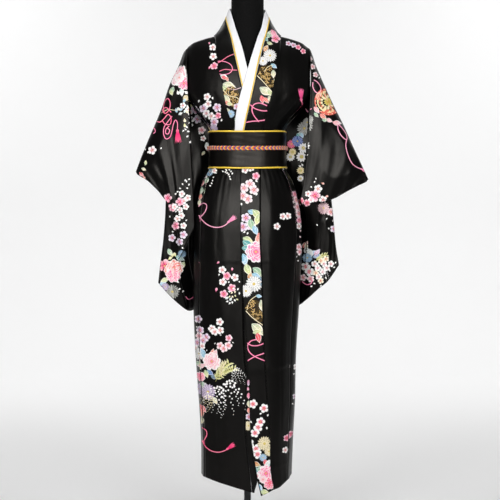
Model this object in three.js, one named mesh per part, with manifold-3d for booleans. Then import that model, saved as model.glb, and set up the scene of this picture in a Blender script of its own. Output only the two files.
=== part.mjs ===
import * as THREE from "three";
import Module from "manifold-3d";

// A yukata with its collars and sash, worn by a limbless dress form on a pole stand.
// Sizes are in millimetres. +Z is up, the front faces -Y, the wearer's left side is at +X.

// ---- Driving sizes ----
const CLOTH = 1.6; // wall of every cloth piece
const FIT_GAP = 0.3; // gap between pieces that touch
const SEAM_DEG = 0.45; // angle left open at a side seam, about 1 mm
const SHOULDER_Z = 1400; // above this height the cloth rounds over to the shoulder line
const BAND_LIFT = 3.1; // neckband above the panel that it is sewn to
const OVER_LIFT = 5.4; // wearer's left front above the right front
const PIPING_LIFT = 1.9; // gold piping above the white collar
const PIPING_WIDTH = 4;
const SASH_TOP = 1279;
const SASH_BOTTOM = 1160;
const SASH_PIPING_HEIGHT = 5;
const CORD_Z = 1224; // middle of the braided sash cord
const CORD_HEIGHT = 12;
const CORD_DEPTH = 5;
const NECK_RADIUS = 52;
const FORM_TOP = 1735;
const FORM_BOTTOM = 860;
const POLE_RADIUS = 11;
const BASE_RADIUS = 190;
const BASE_HEIGHT = 14;

// ---- Cross-sections of the dressed body ----
// [height, half-width right (-X), half-width left (+X), depth front, depth back]
const BODY = [
  [100, 146, 138, 106, 108],
  [190, 146, 138, 107, 108],
  [292, 147, 142, 109, 110],
  [420, 154, 149, 112, 114],
  [574, 164, 152, 115, 118],
  [740, 170, 162, 118, 124],
  [932, 167, 171, 120, 129],
  [1012, 165, 168, 118, 127],
  [1076, 155, 158, 111, 117],
  [1120, 143, 144, 103, 106],
  [1140, 132, 133, 99, 101],
  [1154, 124, 124, 96, 95],
  [1168, 119, 120, 95, 93],
  [1180, 118, 119, 95, 92],
  [1225, 116, 115, 94, 89],
  [1262, 117, 115, 97, 91],
  [1285, 123, 121, 102, 95],
  [1312, 141, 140, 108, 101],
  [1345, 168, 171, 113, 108],
  [1375, 189, 196, 115, 113],
  [1400, 202, 211, 115, 115],
];
// exponent of the rounded cross-section: [height, exponent]
const ROUND = [
  [100, 2.2],
  [1180, 2.2],
  [1285, 2.1],
  [1400, 1.8],
];
// shoulder line: [distance from the middle, height]
const SHOULDER_LINE = [
  [0, 1625],
  [60, 1605],
  [104, 1584],
  [136, 1575],
  [173, 1562],
  [192, 1548],
  [212, 1536],
];

// ---- Cut of the panels ----
// side seam, and above it the front edge of the open underarm: [height, angle from the front]
const SIDE_EDGE = [
  [100, 62],
  [1150, 62],
  [1285, 70],
  [1400, 72],
];
const UNDERARM_DEG = 36; // how far the back edge of the armhole stands behind the front edge
const UNDERARM_LOW = 1288; // height where the side seam ends
const UNDERARM_HIGH = 1385;
const SHOULDER_SEAM_DEG = 1.3; // angle left open along the shoulder line
const NECK_HALF_WIDTH = 107; // neck opening of the back panels
const NECK_DROP_DEG = 34.6; // how far the back neckline lies behind the shoulder line
// [height, sideways position] of the edges of the fronts and of the overlap strips
const RIGHT_FRONT_EDGE = [
  [100, 14],
  [143, 14],
  [336, -6],
  [495, -2],
  [558, -9],
  [745, -14],
  [1150, -14],
  [1225, -12],
  [1271, -28],
  [1299, -40],
  [1343, -56],
  [1401, -69],
  [1456, -80],
  [1516, -88],
  [1545, -94],
  [1566, -105],
  [1600, -110],
];
const LEFT_FRONT_EDGE = [
  [100, 83],
  [152, 83],
  [184, 76],
  [256, 72],
  [321, 72],
  [412, 65],
  [608, 51],
  [682, 48],
  [807, 45],
  [932, 39],
  [1150, 41],
  [1225, 34],
  [1271, 37],
  [1331, 53],
  [1394, 69],
  [1466, 85],
  [1526, 93],
  [1545, 97],
  [1566, 107],
  [1600, 111],
];
const LEFT_STRIP_EDGE = [
  [100, 47],
  [133, 43],
  [184, 31],
  [337, 9],
  [496, 6],
  [521, 0],
  [583, 0],
  [682, -8],
  [757, -14],
  [869, -18],
  [932, -21],
  [1222, -23],
];
const RIGHT_STRIP_EDGE = [
  [100, 20],
  [142, 22],
  [184, 33],
  [495, 45],
  [1222, 45],
];
// hem heights: [sideways position, height]
const RIGHT_HEM = [
  [-150, 188],
  [-131, 182],
  [-86, 170],
  [-48, 160],
  [14, 143],
  [22, 141],
  [60, 138],
];
const LEFT_HEM = [
  [20, 131],
  [43, 131],
  [83, 149],
  [102, 155],
  [128, 174],
  [145, 187],
];
const BACK_HEM_Z = 186;

// ---- Neckband and white collar ----
// One row per station from the hidden end of the right front, round the neck, down to the sash.
// outer edge of the band as [x, shoulder angle]: angles under 0 are millimetres below SHOULDER_Z
const COLLAR_ROWS = ["xo", "ho", "xj", "zj", "yj", "xi", "zi", "yi", "stand"];
const COLLAR = [
  [-20, -175, 24, 1232, 0, 44, 1238, 0, 0],
  [-36, -129, 14, 1277, 0, 42, 1283, 0, 0],
  [-48, -101, 7, 1307, 0, 35, 1313, 0, 0],
  [-64, -57, -5, 1352, 0, 24, 1360, 0, 0],
  [-77, 1, -18, 1411, 0, 12, 1418, 0, 0],
  [-88, 17, -31, 1470, -99, -2, 1476, -101, 0],
  [-96, 38, -44, 1528, -86, -16, 1534, -89, 0],
  [-101, 60, -52, 1568, -66, -27, 1570, -72, 0.5],
  [-105, 82, -61, 1604, -38, -42, 1618, -44, 1],
  [-98, 101, -68, 1636, -6, -55, 1664, -12, 1],
  [-76, 113, -64, 1648, 30, -57, 1676, 24, 1],
  [-42, 121, -40, 1652, 62, -36, 1680, 57, 1],
  [0, 124, 0, 1653, 75, 0, 1681, 70, 1],
  [42, 121, 40, 1652, 62, 36, 1679, 57, 1],
  [76, 113, 65, 1646, 30, 57, 1672, 24, 1],
  [98, 101, 69, 1633, -6, 54, 1654, -12, 1],
  [105, 82, 64, 1602, -38, 45, 1608, -44, 1],
  [104, 60, 57, 1570, -64, 34, 1576, -70, 0.5],
  [101, 38, 50, 1538, -84, 26, 1548, -85, 0],
  [93, 19, 35, 1478, -98, 8, 1488, -100, 0],
  [79, 2, 21, 1412, 0, -11, 1424, 0, 0],
  [67, -44, 11, 1368, 0, -24, 1378, 0, 0],
  [55, -90, -2, 1312, 0, -37, 1318, 0, 0],
  [45, -129, -10, 1274, 0, -40, 1277, 0, 0],
  [42, -175, -20, 1228, 0, -48, 1231, 0, 0],
];

// ---- Sash ----
// [height, half-width right, half-width left, depth front, depth back] of the outer face
const SASH = [
  [1155, 126.5, 127, 110, 97.4],
  [1224, 124.5, 124, 109.5, 96],
  [1285, 127, 125, 114, 99],
];

// ---- Sleeves ----
// Edge lines as [x, y, z] points. The left sleeve is at +X.
const SLEEVE_RIGHT = {
  top: [
    [-192.3, -2, 1546],
    [-204, 0, 1532],
    [-222, 0, 1486],
    [-248, 0, 1432],
    [-277, 0, 1348],
    [-312, -2, 1265],
    [-338, -4, 1201],
    [-357, -6, 1150],
  ],
  flapLow: [
    [-168, -52, 967],
    [-188, -52, 930],
    [-208, -50, 891],
    [-227, -48, 970],
    [-258, -42, 1053],
    [-310, -28, 1113],
    [-352, -12, 1142],
  ],
  flapCorner: 2,
  flapInner: [
    [-192.3, -2, 1546],
    [-192.3, -28, 1505],
    [-191.5, -36, 1440],
    [-185, -47, 1344],
    [-179, -52, 1248],
    [-173, -50, 1122],
    [-168, -52, 967],
  ],
  pouchTop: [
    [-208, -50, 891],
    [-228, -20, 984],
    [-258, -12, 1060],
    [-262, -2, 1058],
  ],
  backInner: [
    [-192.3, -2, 1546],
    [-192.3, 26, 1500],
    [-191.5, 36, 1420],
    [-154, 68, 1336],
    [-118, 66, 1275],
    [-114, 66, 1190],
    [-128, 84, 1110],
    [-146, 90, 960],
    [-150, 86, 830],
    [-154, 78, 716],
  ],
  backOuterHigh: [
    [-357, -6, 1150],
    [-310, 14, 1116],
    [-262, -2, 1058],
  ],
  backOuterLow: [
    [-262, -2, 1058],
    [-264, 0, 1009],
    [-270, 2, 932],
    [-280, 2, 849],
    [-286, 2, 795],
  ],
  bottom: [
    [-154, 78, 716],
    [-184, 36, 705],
    [-197, 16, 708],
    [-229, 6, 734],
    [-261, 2, 766],
    [-286, 2, 795],
  ],
  pouchInner: [
    [-168, -52, 967],
    [-187, -5, 930],
    [-184, 30, 850],
    [-154, 78, 716],
  ],
};
const SLEEVE_LEFT = {
  top: [
    [201.1, -2, 1540],
    [209, 0, 1520],
    [218, 0, 1492],
    [234, 0, 1454],
    [251, 0, 1416],
    [277, 0, 1360],
    [308, 0, 1298],
    [338, 0, 1231],
    [369, -2, 1164],
    [386, -6, 1126],
  ],
  flapLow: [
    [168, -52, 1059],
    [190, -52, 1054],
    [214, -50, 1049],
    [265, -42, 1059],
    [326, -26, 1091],
    [380, -12, 1119],
  ],
  flapCorner: 2,
  flapInner: [
    [201.1, -2, 1540],
    [201.1, -28, 1500],
    [201.1, -38, 1430],
    [197, -48, 1338],
    [192, -52, 1248],
    [181, -50, 1135],
    [168, -52, 1059],
  ],
  pouchTop: [
    [214, -50, 1049],
    [232, -20, 1060],
    [262, -12, 1070],
    [268, -2, 1068],
  ],
  backInner: [
    [201.1, -2, 1540],
    [201.1, 26, 1500],
    [201.1, 36, 1420],
    [158, 72, 1336],
    [118, 66, 1275],
    [114, 66, 1190],
    [130, 84, 1110],
    [150, 90, 960],
    [150, 86, 830],
    [150, 76, 716],
  ],
  backOuterHigh: [
    [386, -6, 1126],
    [326, 12, 1094],
    [268, -2, 1068],
  ],
  backOuterLow: [
    [268, -2, 1068],
    [276, 0, 993],
    [283, 2, 913],
    [293, 2, 852],
  ],
  bottom: [
    [150, 76, 716],
    [172, 42, 726],
    [197, 16, 747],
    [228, 6, 776],
    [258, 2, 801],
    [293, 2, 852],
  ],
  pouchInner: [
    [168, -52, 1059],
    [188, -2, 1000],
    [186, 36, 860],
    [150, 76, 716],
  ],
};
const SLEEVE_COLUMNS = 10;
const SLEEVE_CORNER_COLUMNS = 3; // columns of the flap that fold back into the bag
const FLAP_ROWS = 8;
const CUFF_ROWS = 4; // rows of the back layer along the open cuff
const BAG_ROWS = 6; // rows of the back layer along the sewn bag

// ---- Dress form ----
// [height, half-width, depth front, depth back]
const FORM = [
  [FORM_BOTTOM, 140, 98, 100],
  [900, 148, 106, 110],
  [980, 150, 106, 112],
  [1060, 140, 98, 102],
  [1130, 118, 86, 86],
  [1190, 106, 80, 78],
  [1235, 104, 80, 76],
  [1290, 112, 90, 82],
  [1340, 128, 100, 92],
  [1390, 150, 102, 98],
  [1440, 168, 92, 94],
  [1490, 176, 78, 80],
  [1525, 176, 62, 64],
  [1548, 174, 50, 52],
  [1560.4, 168, 40, 40],
  [1570.4, 138, 34, 34],
];
const NECK = [
  [1500, 66, 60],
  [1540, 62, 58],
  [1575, 56, 54],
  [1610, 53, 52],
  [1650, NECK_RADIUS, NECK_RADIUS],
  [FORM_TOP, NECK_RADIUS, NECK_RADIUS],
];

// ---- Reading the tables ----
const DEG = Math.PI / 180;

function mix(a, b, t) {
  return a + (b - a) * t;
}

function smooth(a, b, v) {
  const t = Math.min(1, Math.max(0, (v - a) / (b - a)));
  return t * t * (3 - 2 * t);
}

// slope of a column at a row, from the rows beside it
function slope(table, i, column) {
  const a = table[Math.max(0, i - 1)];
  const b = table[Math.min(table.length - 1, i + 1)];
  return (b[column] - a[column]) / (b[0] - a[0]);
}

// smooth value of a column at a height (first column), held constant past both ends
function read(table, v, column) {
  if (v <= table[0][0]) return table[0][column];
  const last = table.length - 1;
  if (v >= table[last][0]) return table[last][column];
  let i = 0;
  while (v > table[i + 1][0]) i += 1;
  const [p, q] = [table[i], table[i + 1]];
  const h = q[0] - p[0];
  const t = (v - p[0]) / h;
  const [t2, t3] = [t * t, t * t * t];
  return (
    p[column] * (2 * t3 - 3 * t2 + 1) +
    slope(table, i, column) * h * (t3 - 2 * t2 + t) +
    q[column] * (3 * t2 - 2 * t3) +
    slope(table, i + 1, column) * h * (t3 - t2)
  );
}

// points spread evenly by length along a line of [x, y, z] points
function along(line, count) {
  const points = line.map((p) => new THREE.Vector3(...p));
  const curve = new THREE.CatmullRomCurve3(points, false, "centripetal");
  curve.arcLengthDivisions = 400;
  return curve.getSpacedPoints(count);
}

// ---- Surface of the dressed body ----
// Large soft folds of the skirt, in millimetres outward.
function fold(angle, z) {
  const skirt = smooth(1150, 960, z);
  const wave = Math.cos(7 * angle + z / 260) + 0.6 * Math.cos(11 * angle - z / 190 + 1);
  return 1.6 * skirt * (wave + 1.6);
}

function exponent(z) {
  return read(ROUND, z, 1);
}

// half-width of the dressed body on one side at a height
function halfWidth(side, z) {
  return read(BODY, z, side < 0 ? 1 : 2);
}

// angle round the body of a sideways position, 0 at the middle of the front
function angleAt(x, z, off) {
  const w = halfWidth(x, z) + off + fold(0, z);
  const s = Math.min(1, Math.abs(x) / w);
  return Math.sign(x) * Math.asin(Math.pow(s, exponent(z) / 2));
}

// Point of the body surface moved out by off. Up to SHOULDER_Z, h is the height below it;
// above, h is the angle in degrees over the shoulder, 90 at the shoulder line.
// angle runs from 0 at the middle of the front to 180 degrees at the middle of the back.
function shell(angle, h, off) {
  const z = SHOULDER_Z + Math.min(0, h);
  const out = off + fold(angle, z);
  const n = exponent(z);
  const [sin, cos] = [Math.sin(angle), Math.cos(angle)];
  const x = Math.sign(sin) * (halfWidth(sin, z) + out) * Math.pow(Math.abs(sin), 2 / n);
  const c = Math.sign(cos) * Math.pow(Math.abs(cos), 2 / n);
  const depth = read(BODY, z, c > 0 ? 3 : 4) + out;
  if (h <= 0) return new THREE.Vector3(x, -depth * c, z);
  const top = read(SHOULDER_LINE, Math.abs(x), 1) + out;
  const phi = Math.min(90, h) * DEG;
  return new THREE.Vector3(x, -depth * c * Math.cos(phi), mix(SHOULDER_Z, top, Math.sin(phi)));
}

// h of a height on the front, at a sideways position
function rowAt(x, z) {
  if (z <= SHOULDER_Z) return z - SHOULDER_Z;
  const top = read(SHOULDER_LINE, Math.abs(x), 1);
  return Math.asin(Math.min(1, (z - SHOULDER_Z) / (top - SHOULDER_Z))) / DEG;
}

function heightAt(x, h) {
  if (h <= 0) return SHOULDER_Z + h;
  return mix(SHOULDER_Z, read(SHOULDER_LINE, Math.abs(x), 1), Math.sin(h * DEG));
}

// point of the front surface at a sideways position and a height
function onFront(x, z, off) {
  const low = Math.min(z, SHOULDER_Z);
  return shell(angleAt(x, low, off), rowAt(x, z), off);
}

// ---- Solids ----
// A cloth wall from grids of points. Grids that share points are one piece there.
// The points lie on the outer face; the wall is CLOTH thick (or thick), inward.
function wall(grids, thick = CLOTH) {
  const points = [];
  const index = new Map();
  function add(p) {
    const key = [p.x, p.y, p.z].map((v) => Math.round(v * 100)).join(",");
    if (!index.has(key)) {
      index.set(key, points.length);
      points.push(p.clone());
    }
    return index.get(key);
  }
  const faces = [];
  for (const grid of grids) {
    const ids = grid.map((row) => row.map(add));
    for (let r = 0; r + 1 < ids.length; r += 1) {
      for (let c = 0; c + 1 < ids[r].length; c += 1) {
        const [a, b] = [ids[r][c], ids[r][c + 1]];
        const [d, e] = [ids[r + 1][c + 1], ids[r + 1][c]];
        if (a !== b && b !== d && a !== d) faces.push([a, b, d]);
        if (a !== d && d !== e && a !== e) faces.push([a, d, e]);
      }
    }
  }
  const normals = points.map(() => new THREE.Vector3());
  for (const [a, b, c] of faces) {
    const u = points[b].clone().sub(points[a]);
    const v = points[c].clone().sub(points[a]);
    const n = u.cross(v).normalize();
    for (const i of [a, b, c]) normals[i].add(n);
  }
  const count = points.length;
  const inner = points.map((p, i) => p.clone().addScaledVector(normals[i].normalize(), -thick));
  const edges = new Set();
  for (const f of faces) for (let k = 0; k < 3; k += 1) edges.add(f[k] + "_" + f[(k + 1) % 3]);
  const triangles = [];
  for (const [a, b, c] of faces) {
    triangles.push([a, b, c], [a + count, c + count, b + count]);
    for (const [p, q] of [
      [a, b],
      [b, c],
      [c, a],
    ]) {
      if (edges.has(q + "_" + p)) continue;
      triangles.push([q, p, p + count], [q, p + count, q + count]);
    }
  }
  return solid(points.concat(inner), triangles);
}

function solid(points, triangles) {
  const geometry = new THREE.BufferGeometry();
  const flat = points.flatMap((p) => [p.x, p.y, p.z]);
  geometry.setAttribute("position", new THREE.Float32BufferAttribute(flat, 3));
  geometry.setIndex(triangles.flat());
  geometry.computeVertexNormals();
  return geometry;
}

// a closed solid from a stack of level rings, capped flat at both ends
function stack(rings) {
  const size = rings[0].length;
  const points = rings.flat();
  const triangles = [];
  for (let r = 0; r + 1 < rings.length; r += 1) {
    for (let c = 0; c < size; c += 1) {
      const [a, b] = [r * size + c, r * size + ((c + 1) % size)];
      triangles.push([a, b, b + size], [a, b + size, a + size]);
    }
  }
  const low = rings[0][0].clone().setX(0).setY(0);
  const high = rings[rings.length - 1][0].clone().setX(0).setY(0);
  points.push(low, high);
  const top = (rings.length - 1) * size;
  for (let c = 0; c < size; c += 1) {
    const d = (c + 1) % size;
    triangles.push([d, c, points.length - 2], [top + c, top + d, points.length - 1]);
  }
  return solid(points, triangles);
}

function ring(size, z, right, left, front, back, n) {
  const points = [];
  for (let i = 0; i < size; i += 1) {
    const a = (i / size) * 2 * Math.PI;
    const [sin, cos] = [Math.sin(a), Math.cos(a)];
    const w = sin < 0 ? right : left;
    const d = cos > 0 ? front : back;
    const x = Math.sign(sin) * w * Math.pow(Math.abs(sin), 2 / n);
    const y = -Math.sign(cos) * d * Math.pow(Math.abs(cos), 2 / n);
    points.push(new THREE.Vector3(x, y, z));
  }
  return points;
}

// ---- Panels ----
const PANEL_ROWS = [
  210, 290, 380, 475, 570, 665, 760, 850, 930, 1000, 1055, 1098, 1124, 1141, 1155, 1172, 1198,
  1235, 1262, 1288, 1312, 1340, 1370, 1400,
];
const SHOULDER_ROWS = [11, 22, 33, 44, 55, 66, 77, 90 - SHOULDER_SEAM_DEG];
const ROWS = PANEL_ROWS.map((z) => z - SHOULDER_Z).concat(SHOULDER_ROWS);
const STRIP_ROWS = ROWS.filter((h) => h < -180).concat([-180]);

// The over front lies higher near the middle, and comes down to the side seam and the shoulder.
function overLift(x, h) {
  const sideways = 1 - smooth(62, 112, x);
  const upward = h > 0 ? 1 - smooth(30, 62, h) : 1;
  return OVER_LIFT * sideways * upward;
}

// sideways position of an edge table at a row, where the height depends on the position
function edgeAt(table, h) {
  let x = read(table, SHOULDER_Z + Math.min(0, h), 1);
  for (let k = 0; k < 12; k += 1) x = read(table, heightAt(x, h), 1);
  return x;
}

// one front panel: side is -1 for the wearer's right, 1 for the left
function frontPanel(side, columns) {
  const inner = side < 0 ? RIGHT_FRONT_EDGE : LEFT_FRONT_EDGE;
  const hem = side < 0 ? RIGHT_HEM : LEFT_HEM;
  const rows = [ROWS[0], ...ROWS].map((h, r) => {
    const z = SHOULDER_Z + Math.min(0, h);
    const edge = edgeAt(inner, h);
    const a = angleAt(edge, z, side < 0 ? 0 : overLift(edge, h));
    const b = side * read(SIDE_EDGE, z, 1) * DEG;
    const row = [];
    for (let c = 0; c <= columns; c += 1) {
      const angle = mix(a, b, c / columns);
      let lift = 0;
      for (let k = 0; side > 0 && k < 4; k += 1) lift = overLift(shell(angle, h, lift).x, h);
      let p = shell(angle, h, lift);
      if (r === 0) p = shell(angle, read(hem, p.x, 1) - SHOULDER_Z, lift);
      row.push(p);
    }
    return side < 0 ? row.reverse() : row;
  });
  return rows;
}

// overlap strip of one front, from its seam to its free edge
function overlapStrip(side, columns) {
  const seam = side < 0 ? RIGHT_FRONT_EDGE : LEFT_FRONT_EDGE;
  const free = side < 0 ? RIGHT_STRIP_EDGE : LEFT_STRIP_EDGE;
  const hem = side < 0 ? RIGHT_HEM : LEFT_HEM;
  const rows = [STRIP_ROWS[0], ...STRIP_ROWS].map((h, r) => {
    const z = SHOULDER_Z + h;
    const gap = -side * (FIT_GAP + 0.15);
    const from = read(seam, z, 1) + gap;
    const to = read(free, z, 1);
    const row = [];
    for (let c = 0; c <= columns; c += 1) {
      const x = mix(from, to, c / columns);
      const lift = side < 0 ? 0 : overLift(x, h);
      const angle = angleAt(x, z, lift);
      row.push(shell(angle, (r === 0 ? read(hem, x, 1) : z) - SHOULDER_Z, lift));
    }
    return side < 0 ? row : row.reverse();
  });
  return rows;
}

// angle over the shoulder where the back panels end at the neck
function neckRow(x) {
  const t = Math.min(1, Math.abs(x) / NECK_HALF_WIDTH);
  return 90 - NECK_DROP_DEG * Math.sqrt(1 - t * t);
}

function backPanel(side, columns) {
  const rows = [ROWS[0], ...ROWS].map((h, r) => {
    const z = SHOULDER_Z + Math.min(0, h);
    const open = UNDERARM_DEG * smooth(UNDERARM_LOW, UNDERARM_HIGH, z);
    const a = read(SIDE_EDGE, z, 1) + SEAM_DEG + open;
    const b = 180 - SEAM_DEG;
    const row = [];
    for (let c = 0; c <= columns; c += 1) {
      const angle = side * mix(a, b, c / columns) * DEG;
      const x = shell(angle, Math.min(h, 0), 0).x;
      let level = h > 0 ? (h / 90) * (neckRow(x) - SHOULDER_SEAM_DEG) : h;
      if (r === 0) level = BACK_HEM_Z - SHOULDER_Z;
      row.push(shell(angle, level, 0));
    }
    return side < 0 ? row.reverse() : row;
  });
  return rows;
}

// ---- Collars ----
const COLLAR_STEPS = 2; // rows made between two stations
const BACK_STATION = 12; // middle of the back; later stations are on the over front
const TUCK = 6; // width of the white collar hidden under the band
const PIPING_GAP = 1.0;

function collarRow(v) {
  const table = COLLAR.map((row, i) => [i, ...row]);
  const out = {};
  COLLAR_ROWS.forEach((name, c) => {
    out[name] = read(table, v, c + 1);
  });
  out.stand = Math.min(1, Math.max(0, out.stand));
  return out;
}

// Points across the collars at one station, from the outer edge of the band to the neck:
// columns 0 to 4 carry the band, 3 to 8 the white collar, 5 and 6 the piping.
function collarPoints(v) {
  const s = collarRow(v);
  const level = SHOULDER_Z + Math.min(0, s.ho);
  const behind = s.ho > 90;
  const h = behind ? 180 - s.ho : s.ho;
  const liftAt = (x, row) => (v > BACK_STATION ? overLift(x, row) : 0);
  const lift = liftAt(s.xo, h);
  const angle = angleAt(s.xo, level, lift);
  const turned = (s.xo < 0 ? -1 : 1) * Math.PI - angle;
  const outer = shell(behind ? turned : angle, h, lift);
  const surface = (x, z) => onFront(x, Math.min(z, 1600), liftAt(x, rowAt(x, Math.min(z, 1580))));
  const place = (x, y, z) => surface(x, z).lerp(new THREE.Vector3(x, y, z), s.stand);
  const join = place(s.xj, s.yj, s.zj);
  const inner = place(s.xi, s.yi, s.zi);
  const between = (a, b, share) => {
    const p = a.clone().lerp(b, share);
    const out = new THREE.Vector3(p.x, p.y, 0).normalize();
    const bowed = p.clone().addScaledVector(out, 8 * share * (1 - share));
    return s.stand >= 1 || s.ho > 60 ? bowed : surface(p.x, p.z).lerp(bowed, s.stand);
  };
  const band = join.distanceTo(outer);
  const neck = join.distanceTo(inner);
  const shares = [0.34, 0.67, 1 - TUCK / band];
  const near = [PIPING_GAP, PIPING_GAP + PIPING_WIDTH, neck / 2];
  return [
    outer,
    ...shares.map((t) => between(outer, join, t)),
    join,
    ...near.map((d) => between(join, inner, d / neck)),
    inner,
  ];
}

function collarGrid() {
  const count = (COLLAR.length - 1) * COLLAR_STEPS;
  return Array.from({ length: count + 1 }, (_, i) => collarPoints(i / COLLAR_STEPS));
}

// columns first to last of a grid, each point moved out along the surface normal
function raised(grid, first, last, off) {
  return grid.map((row, r) =>
    row.slice(first, last + 1).map((p, i) => {
      const c = first + i;
      const up = grid[Math.min(grid.length - 1, r + 1)][c];
      const down = grid[Math.max(0, r - 1)][c];
      const next = row[Math.min(row.length - 1, c + 1)];
      const before = row[Math.max(0, c - 1)];
      const n = next.clone().sub(before).cross(up.clone().sub(down)).normalize();
      return p.clone().addScaledVector(n, off);
    }),
  );
}

// ---- Sash ----
function sashPoint(angle, z, off) {
  const n = 2.15;
  const [sin, cos] = [Math.sin(angle), Math.cos(angle)];
  const w = read(SASH, z, sin < 0 ? 1 : 2) + off;
  const d = read(SASH, z, cos > 0 ? 3 : 4) + off;
  const x = Math.sign(sin) * w * Math.pow(Math.abs(sin), 2 / n);
  const y = -Math.sign(cos) * d * Math.pow(Math.abs(cos), 2 / n);
  // the edges of the sash drop a little at the middle of the front
  const drop = cos > 0 ? -6 * cos * cos : 0;
  return new THREE.Vector3(x, y, z + drop);
}

// a closed band round the sash between heights, moved out by off
function band(heights, off, thick, columns) {
  const rows = heights.map((z) => {
    const row = [];
    for (let c = 0; c <= columns; c += 1) {
      const a = ((c % columns) / columns) * 2 * Math.PI;
      row.push(sashPoint(a, z, off));
    }
    return row;
  });
  return wall([rows], thick);
}

// ---- Sleeves ----
// surface between four edge lines (top, bottom run inner to outer; left, right run down)
function patch(top, bottom, left, right, bulge) {
  const [columns, rows] = [top.length - 1, left.length - 1];
  const grid = [];
  for (let r = 0; r <= rows; r += 1) {
    const v = r / rows;
    const row = [];
    for (let c = 0; c <= columns; c += 1) {
      const u = c / columns;
      const p = top[c].clone().multiplyScalar(1 - v).addScaledVector(bottom[c], v);
      p.addScaledVector(left[r], 1 - u).addScaledVector(right[r], u);
      p.addScaledVector(top[0], -(1 - u) * (1 - v)).addScaledVector(top[columns], -u * (1 - v));
      p.addScaledVector(bottom[0], -(1 - u) * v).addScaledVector(bottom[columns], -u * v);
      const [su, sv] = [Math.sin(Math.PI * u), Math.sin(Math.PI * v)];
      const wave = 1 + 0.35 * Math.cos(9 * u + 2 * v);
      p.y += bulge * Math.min(1, su * sv * 1.4) * wave;
      const edge = r === 0 || c === 0 || r === rows || c === columns;
      if (!edge) row.push(p);
      else if (r === 0) row.push(top[c]);
      else if (r === rows) row.push(bottom[c]);
      else row.push(c === 0 ? left[r] : right[r]);
    }
    grid.push(row);
  }
  return grid;
}

function joined(a, b) {
  return a.concat(b.slice(1));
}

function sleeve(table, side) {
  const n = SLEEVE_COLUMNS;
  const k = SLEEVE_CORNER_COLUMNS;
  const top = along(table.top, n);
  const corner = table.flapCorner;
  const foldEdge = along(table.flapLow.slice(0, corner + 1), k);
  const cuffEdge = along(table.flapLow.slice(corner), n - k);
  const flapLow = joined(foldEdge, cuffEdge);
  const tip = along([table.top[table.top.length - 1], table.flapLow[table.flapLow.length - 1]], FLAP_ROWS);
  const flap = patch(top, flapLow, along(table.flapInner, FLAP_ROWS), tip, -12);
  const rows = CUFF_ROWS + BAG_ROWS;
  const low = along(table.backOuterLow, BAG_ROWS);
  const outer = joined(along(table.backOuterHigh, CUFF_ROWS), low);
  const bottom = along(table.bottom, n);
  const back = patch(top, bottom, along(table.backInner, rows), outer, 14);
  const pouchTop = joined(foldEdge, along(table.pouchTop, n - k));
  const pouch = patch(pouchTop, bottom, along(table.pouchInner, BAG_ROWS), low, -8);
  // the front layers face -Y and the back layer +Y, so that the wall is made inside the bag
  const turned = (grid) => grid.map((row) => row.slice().reverse());
  const grids = side < 0 ? [flap, pouch, turned(back)] : [turned(flap), turned(pouch), back];
  return wall(grids);
}

// ---- Dress form ----
const FORM_POINTS = 36;

async function dressForm() {
  const wasm = await Module();
  wasm.setup();
  const torso = FORM.map(([z, w, f, b]) => ring(FORM_POINTS, z, w, w, f, b, 2.1));
  const neck = NECK.map(([z, w, d]) => ring(FORM_POINTS, z, w, w, d, d, 2));
  const solids = [torso, neck].map((rings) => {
    const g = stack(rings);
    return new wasm.Manifold(
      new wasm.Mesh({
        numProp: 3,
        vertProperties: new Float32Array(g.getAttribute("position").array),
        triVerts: new Uint32Array(g.index.array),
      }),
    );
  });
  const mesh = solids[0].add(solids[1]).getMesh();
  const geometry = new THREE.BufferGeometry();
  const positions = new THREE.Float32BufferAttribute(mesh.vertProperties, 3);
  geometry.setAttribute("position", positions);
  geometry.setIndex(Array.from(mesh.triVerts));
  return geometry;
}

// a round solid from a list of [radius, height], 32 sided
function turnedSolid(profile) {
  const rings = profile.map(([r, z]) => ring(32, z, r, r, r, r, 2));
  return stack(rings);
}

// ---- The part ----
const satin = new THREE.MeshStandardMaterial({ color: 0x0c0c0e, roughness: 0.45 });
const white = new THREE.MeshStandardMaterial({ color: 0xf2f2f0, roughness: 0.6 });
const gold = new THREE.MeshStandardMaterial({ color: 0xc8973a, roughness: 0.4 });
const cord = new THREE.MeshStandardMaterial({ color: 0xb8402c, roughness: 0.8 });
const jersey = new THREE.MeshStandardMaterial({ color: 0x0a0a0a, roughness: 0.9 });
const grey = new THREE.MeshStandardMaterial({ color: 0x55585c, roughness: 0.35, metalness: 0.6 });

const group = new THREE.Group();
function put(name, geometry, material) {
  const mesh = new THREE.Mesh(geometry, material);
  mesh.name = name;
  group.add(mesh);
}

put("front_right", wall([frontPanel(-1, 6)]), satin);
put("front_left", wall([frontPanel(1, 6)]), satin);
put("overlap_right", wall([overlapStrip(-1, 3)]), satin);
put("overlap_left", wall([overlapStrip(1, 3)]), satin);
put("back_right", wall([backPanel(-1, 8)]), satin);
put("back_left", wall([backPanel(1, 8)]), satin);
put("sleeve_right", sleeve(SLEEVE_RIGHT, -1), satin);
put("sleeve_left", sleeve(SLEEVE_LEFT, 1), satin);
const collars = collarGrid();
put("neckband", wall([raised(collars, 0, 4, BAND_LIFT)]), satin);
put("white_collar", wall([raised(collars, 3, 8, 0)]), white);
put("collar_piping", wall([raised(collars, 5, 6, PIPING_LIFT)]), gold);

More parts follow.
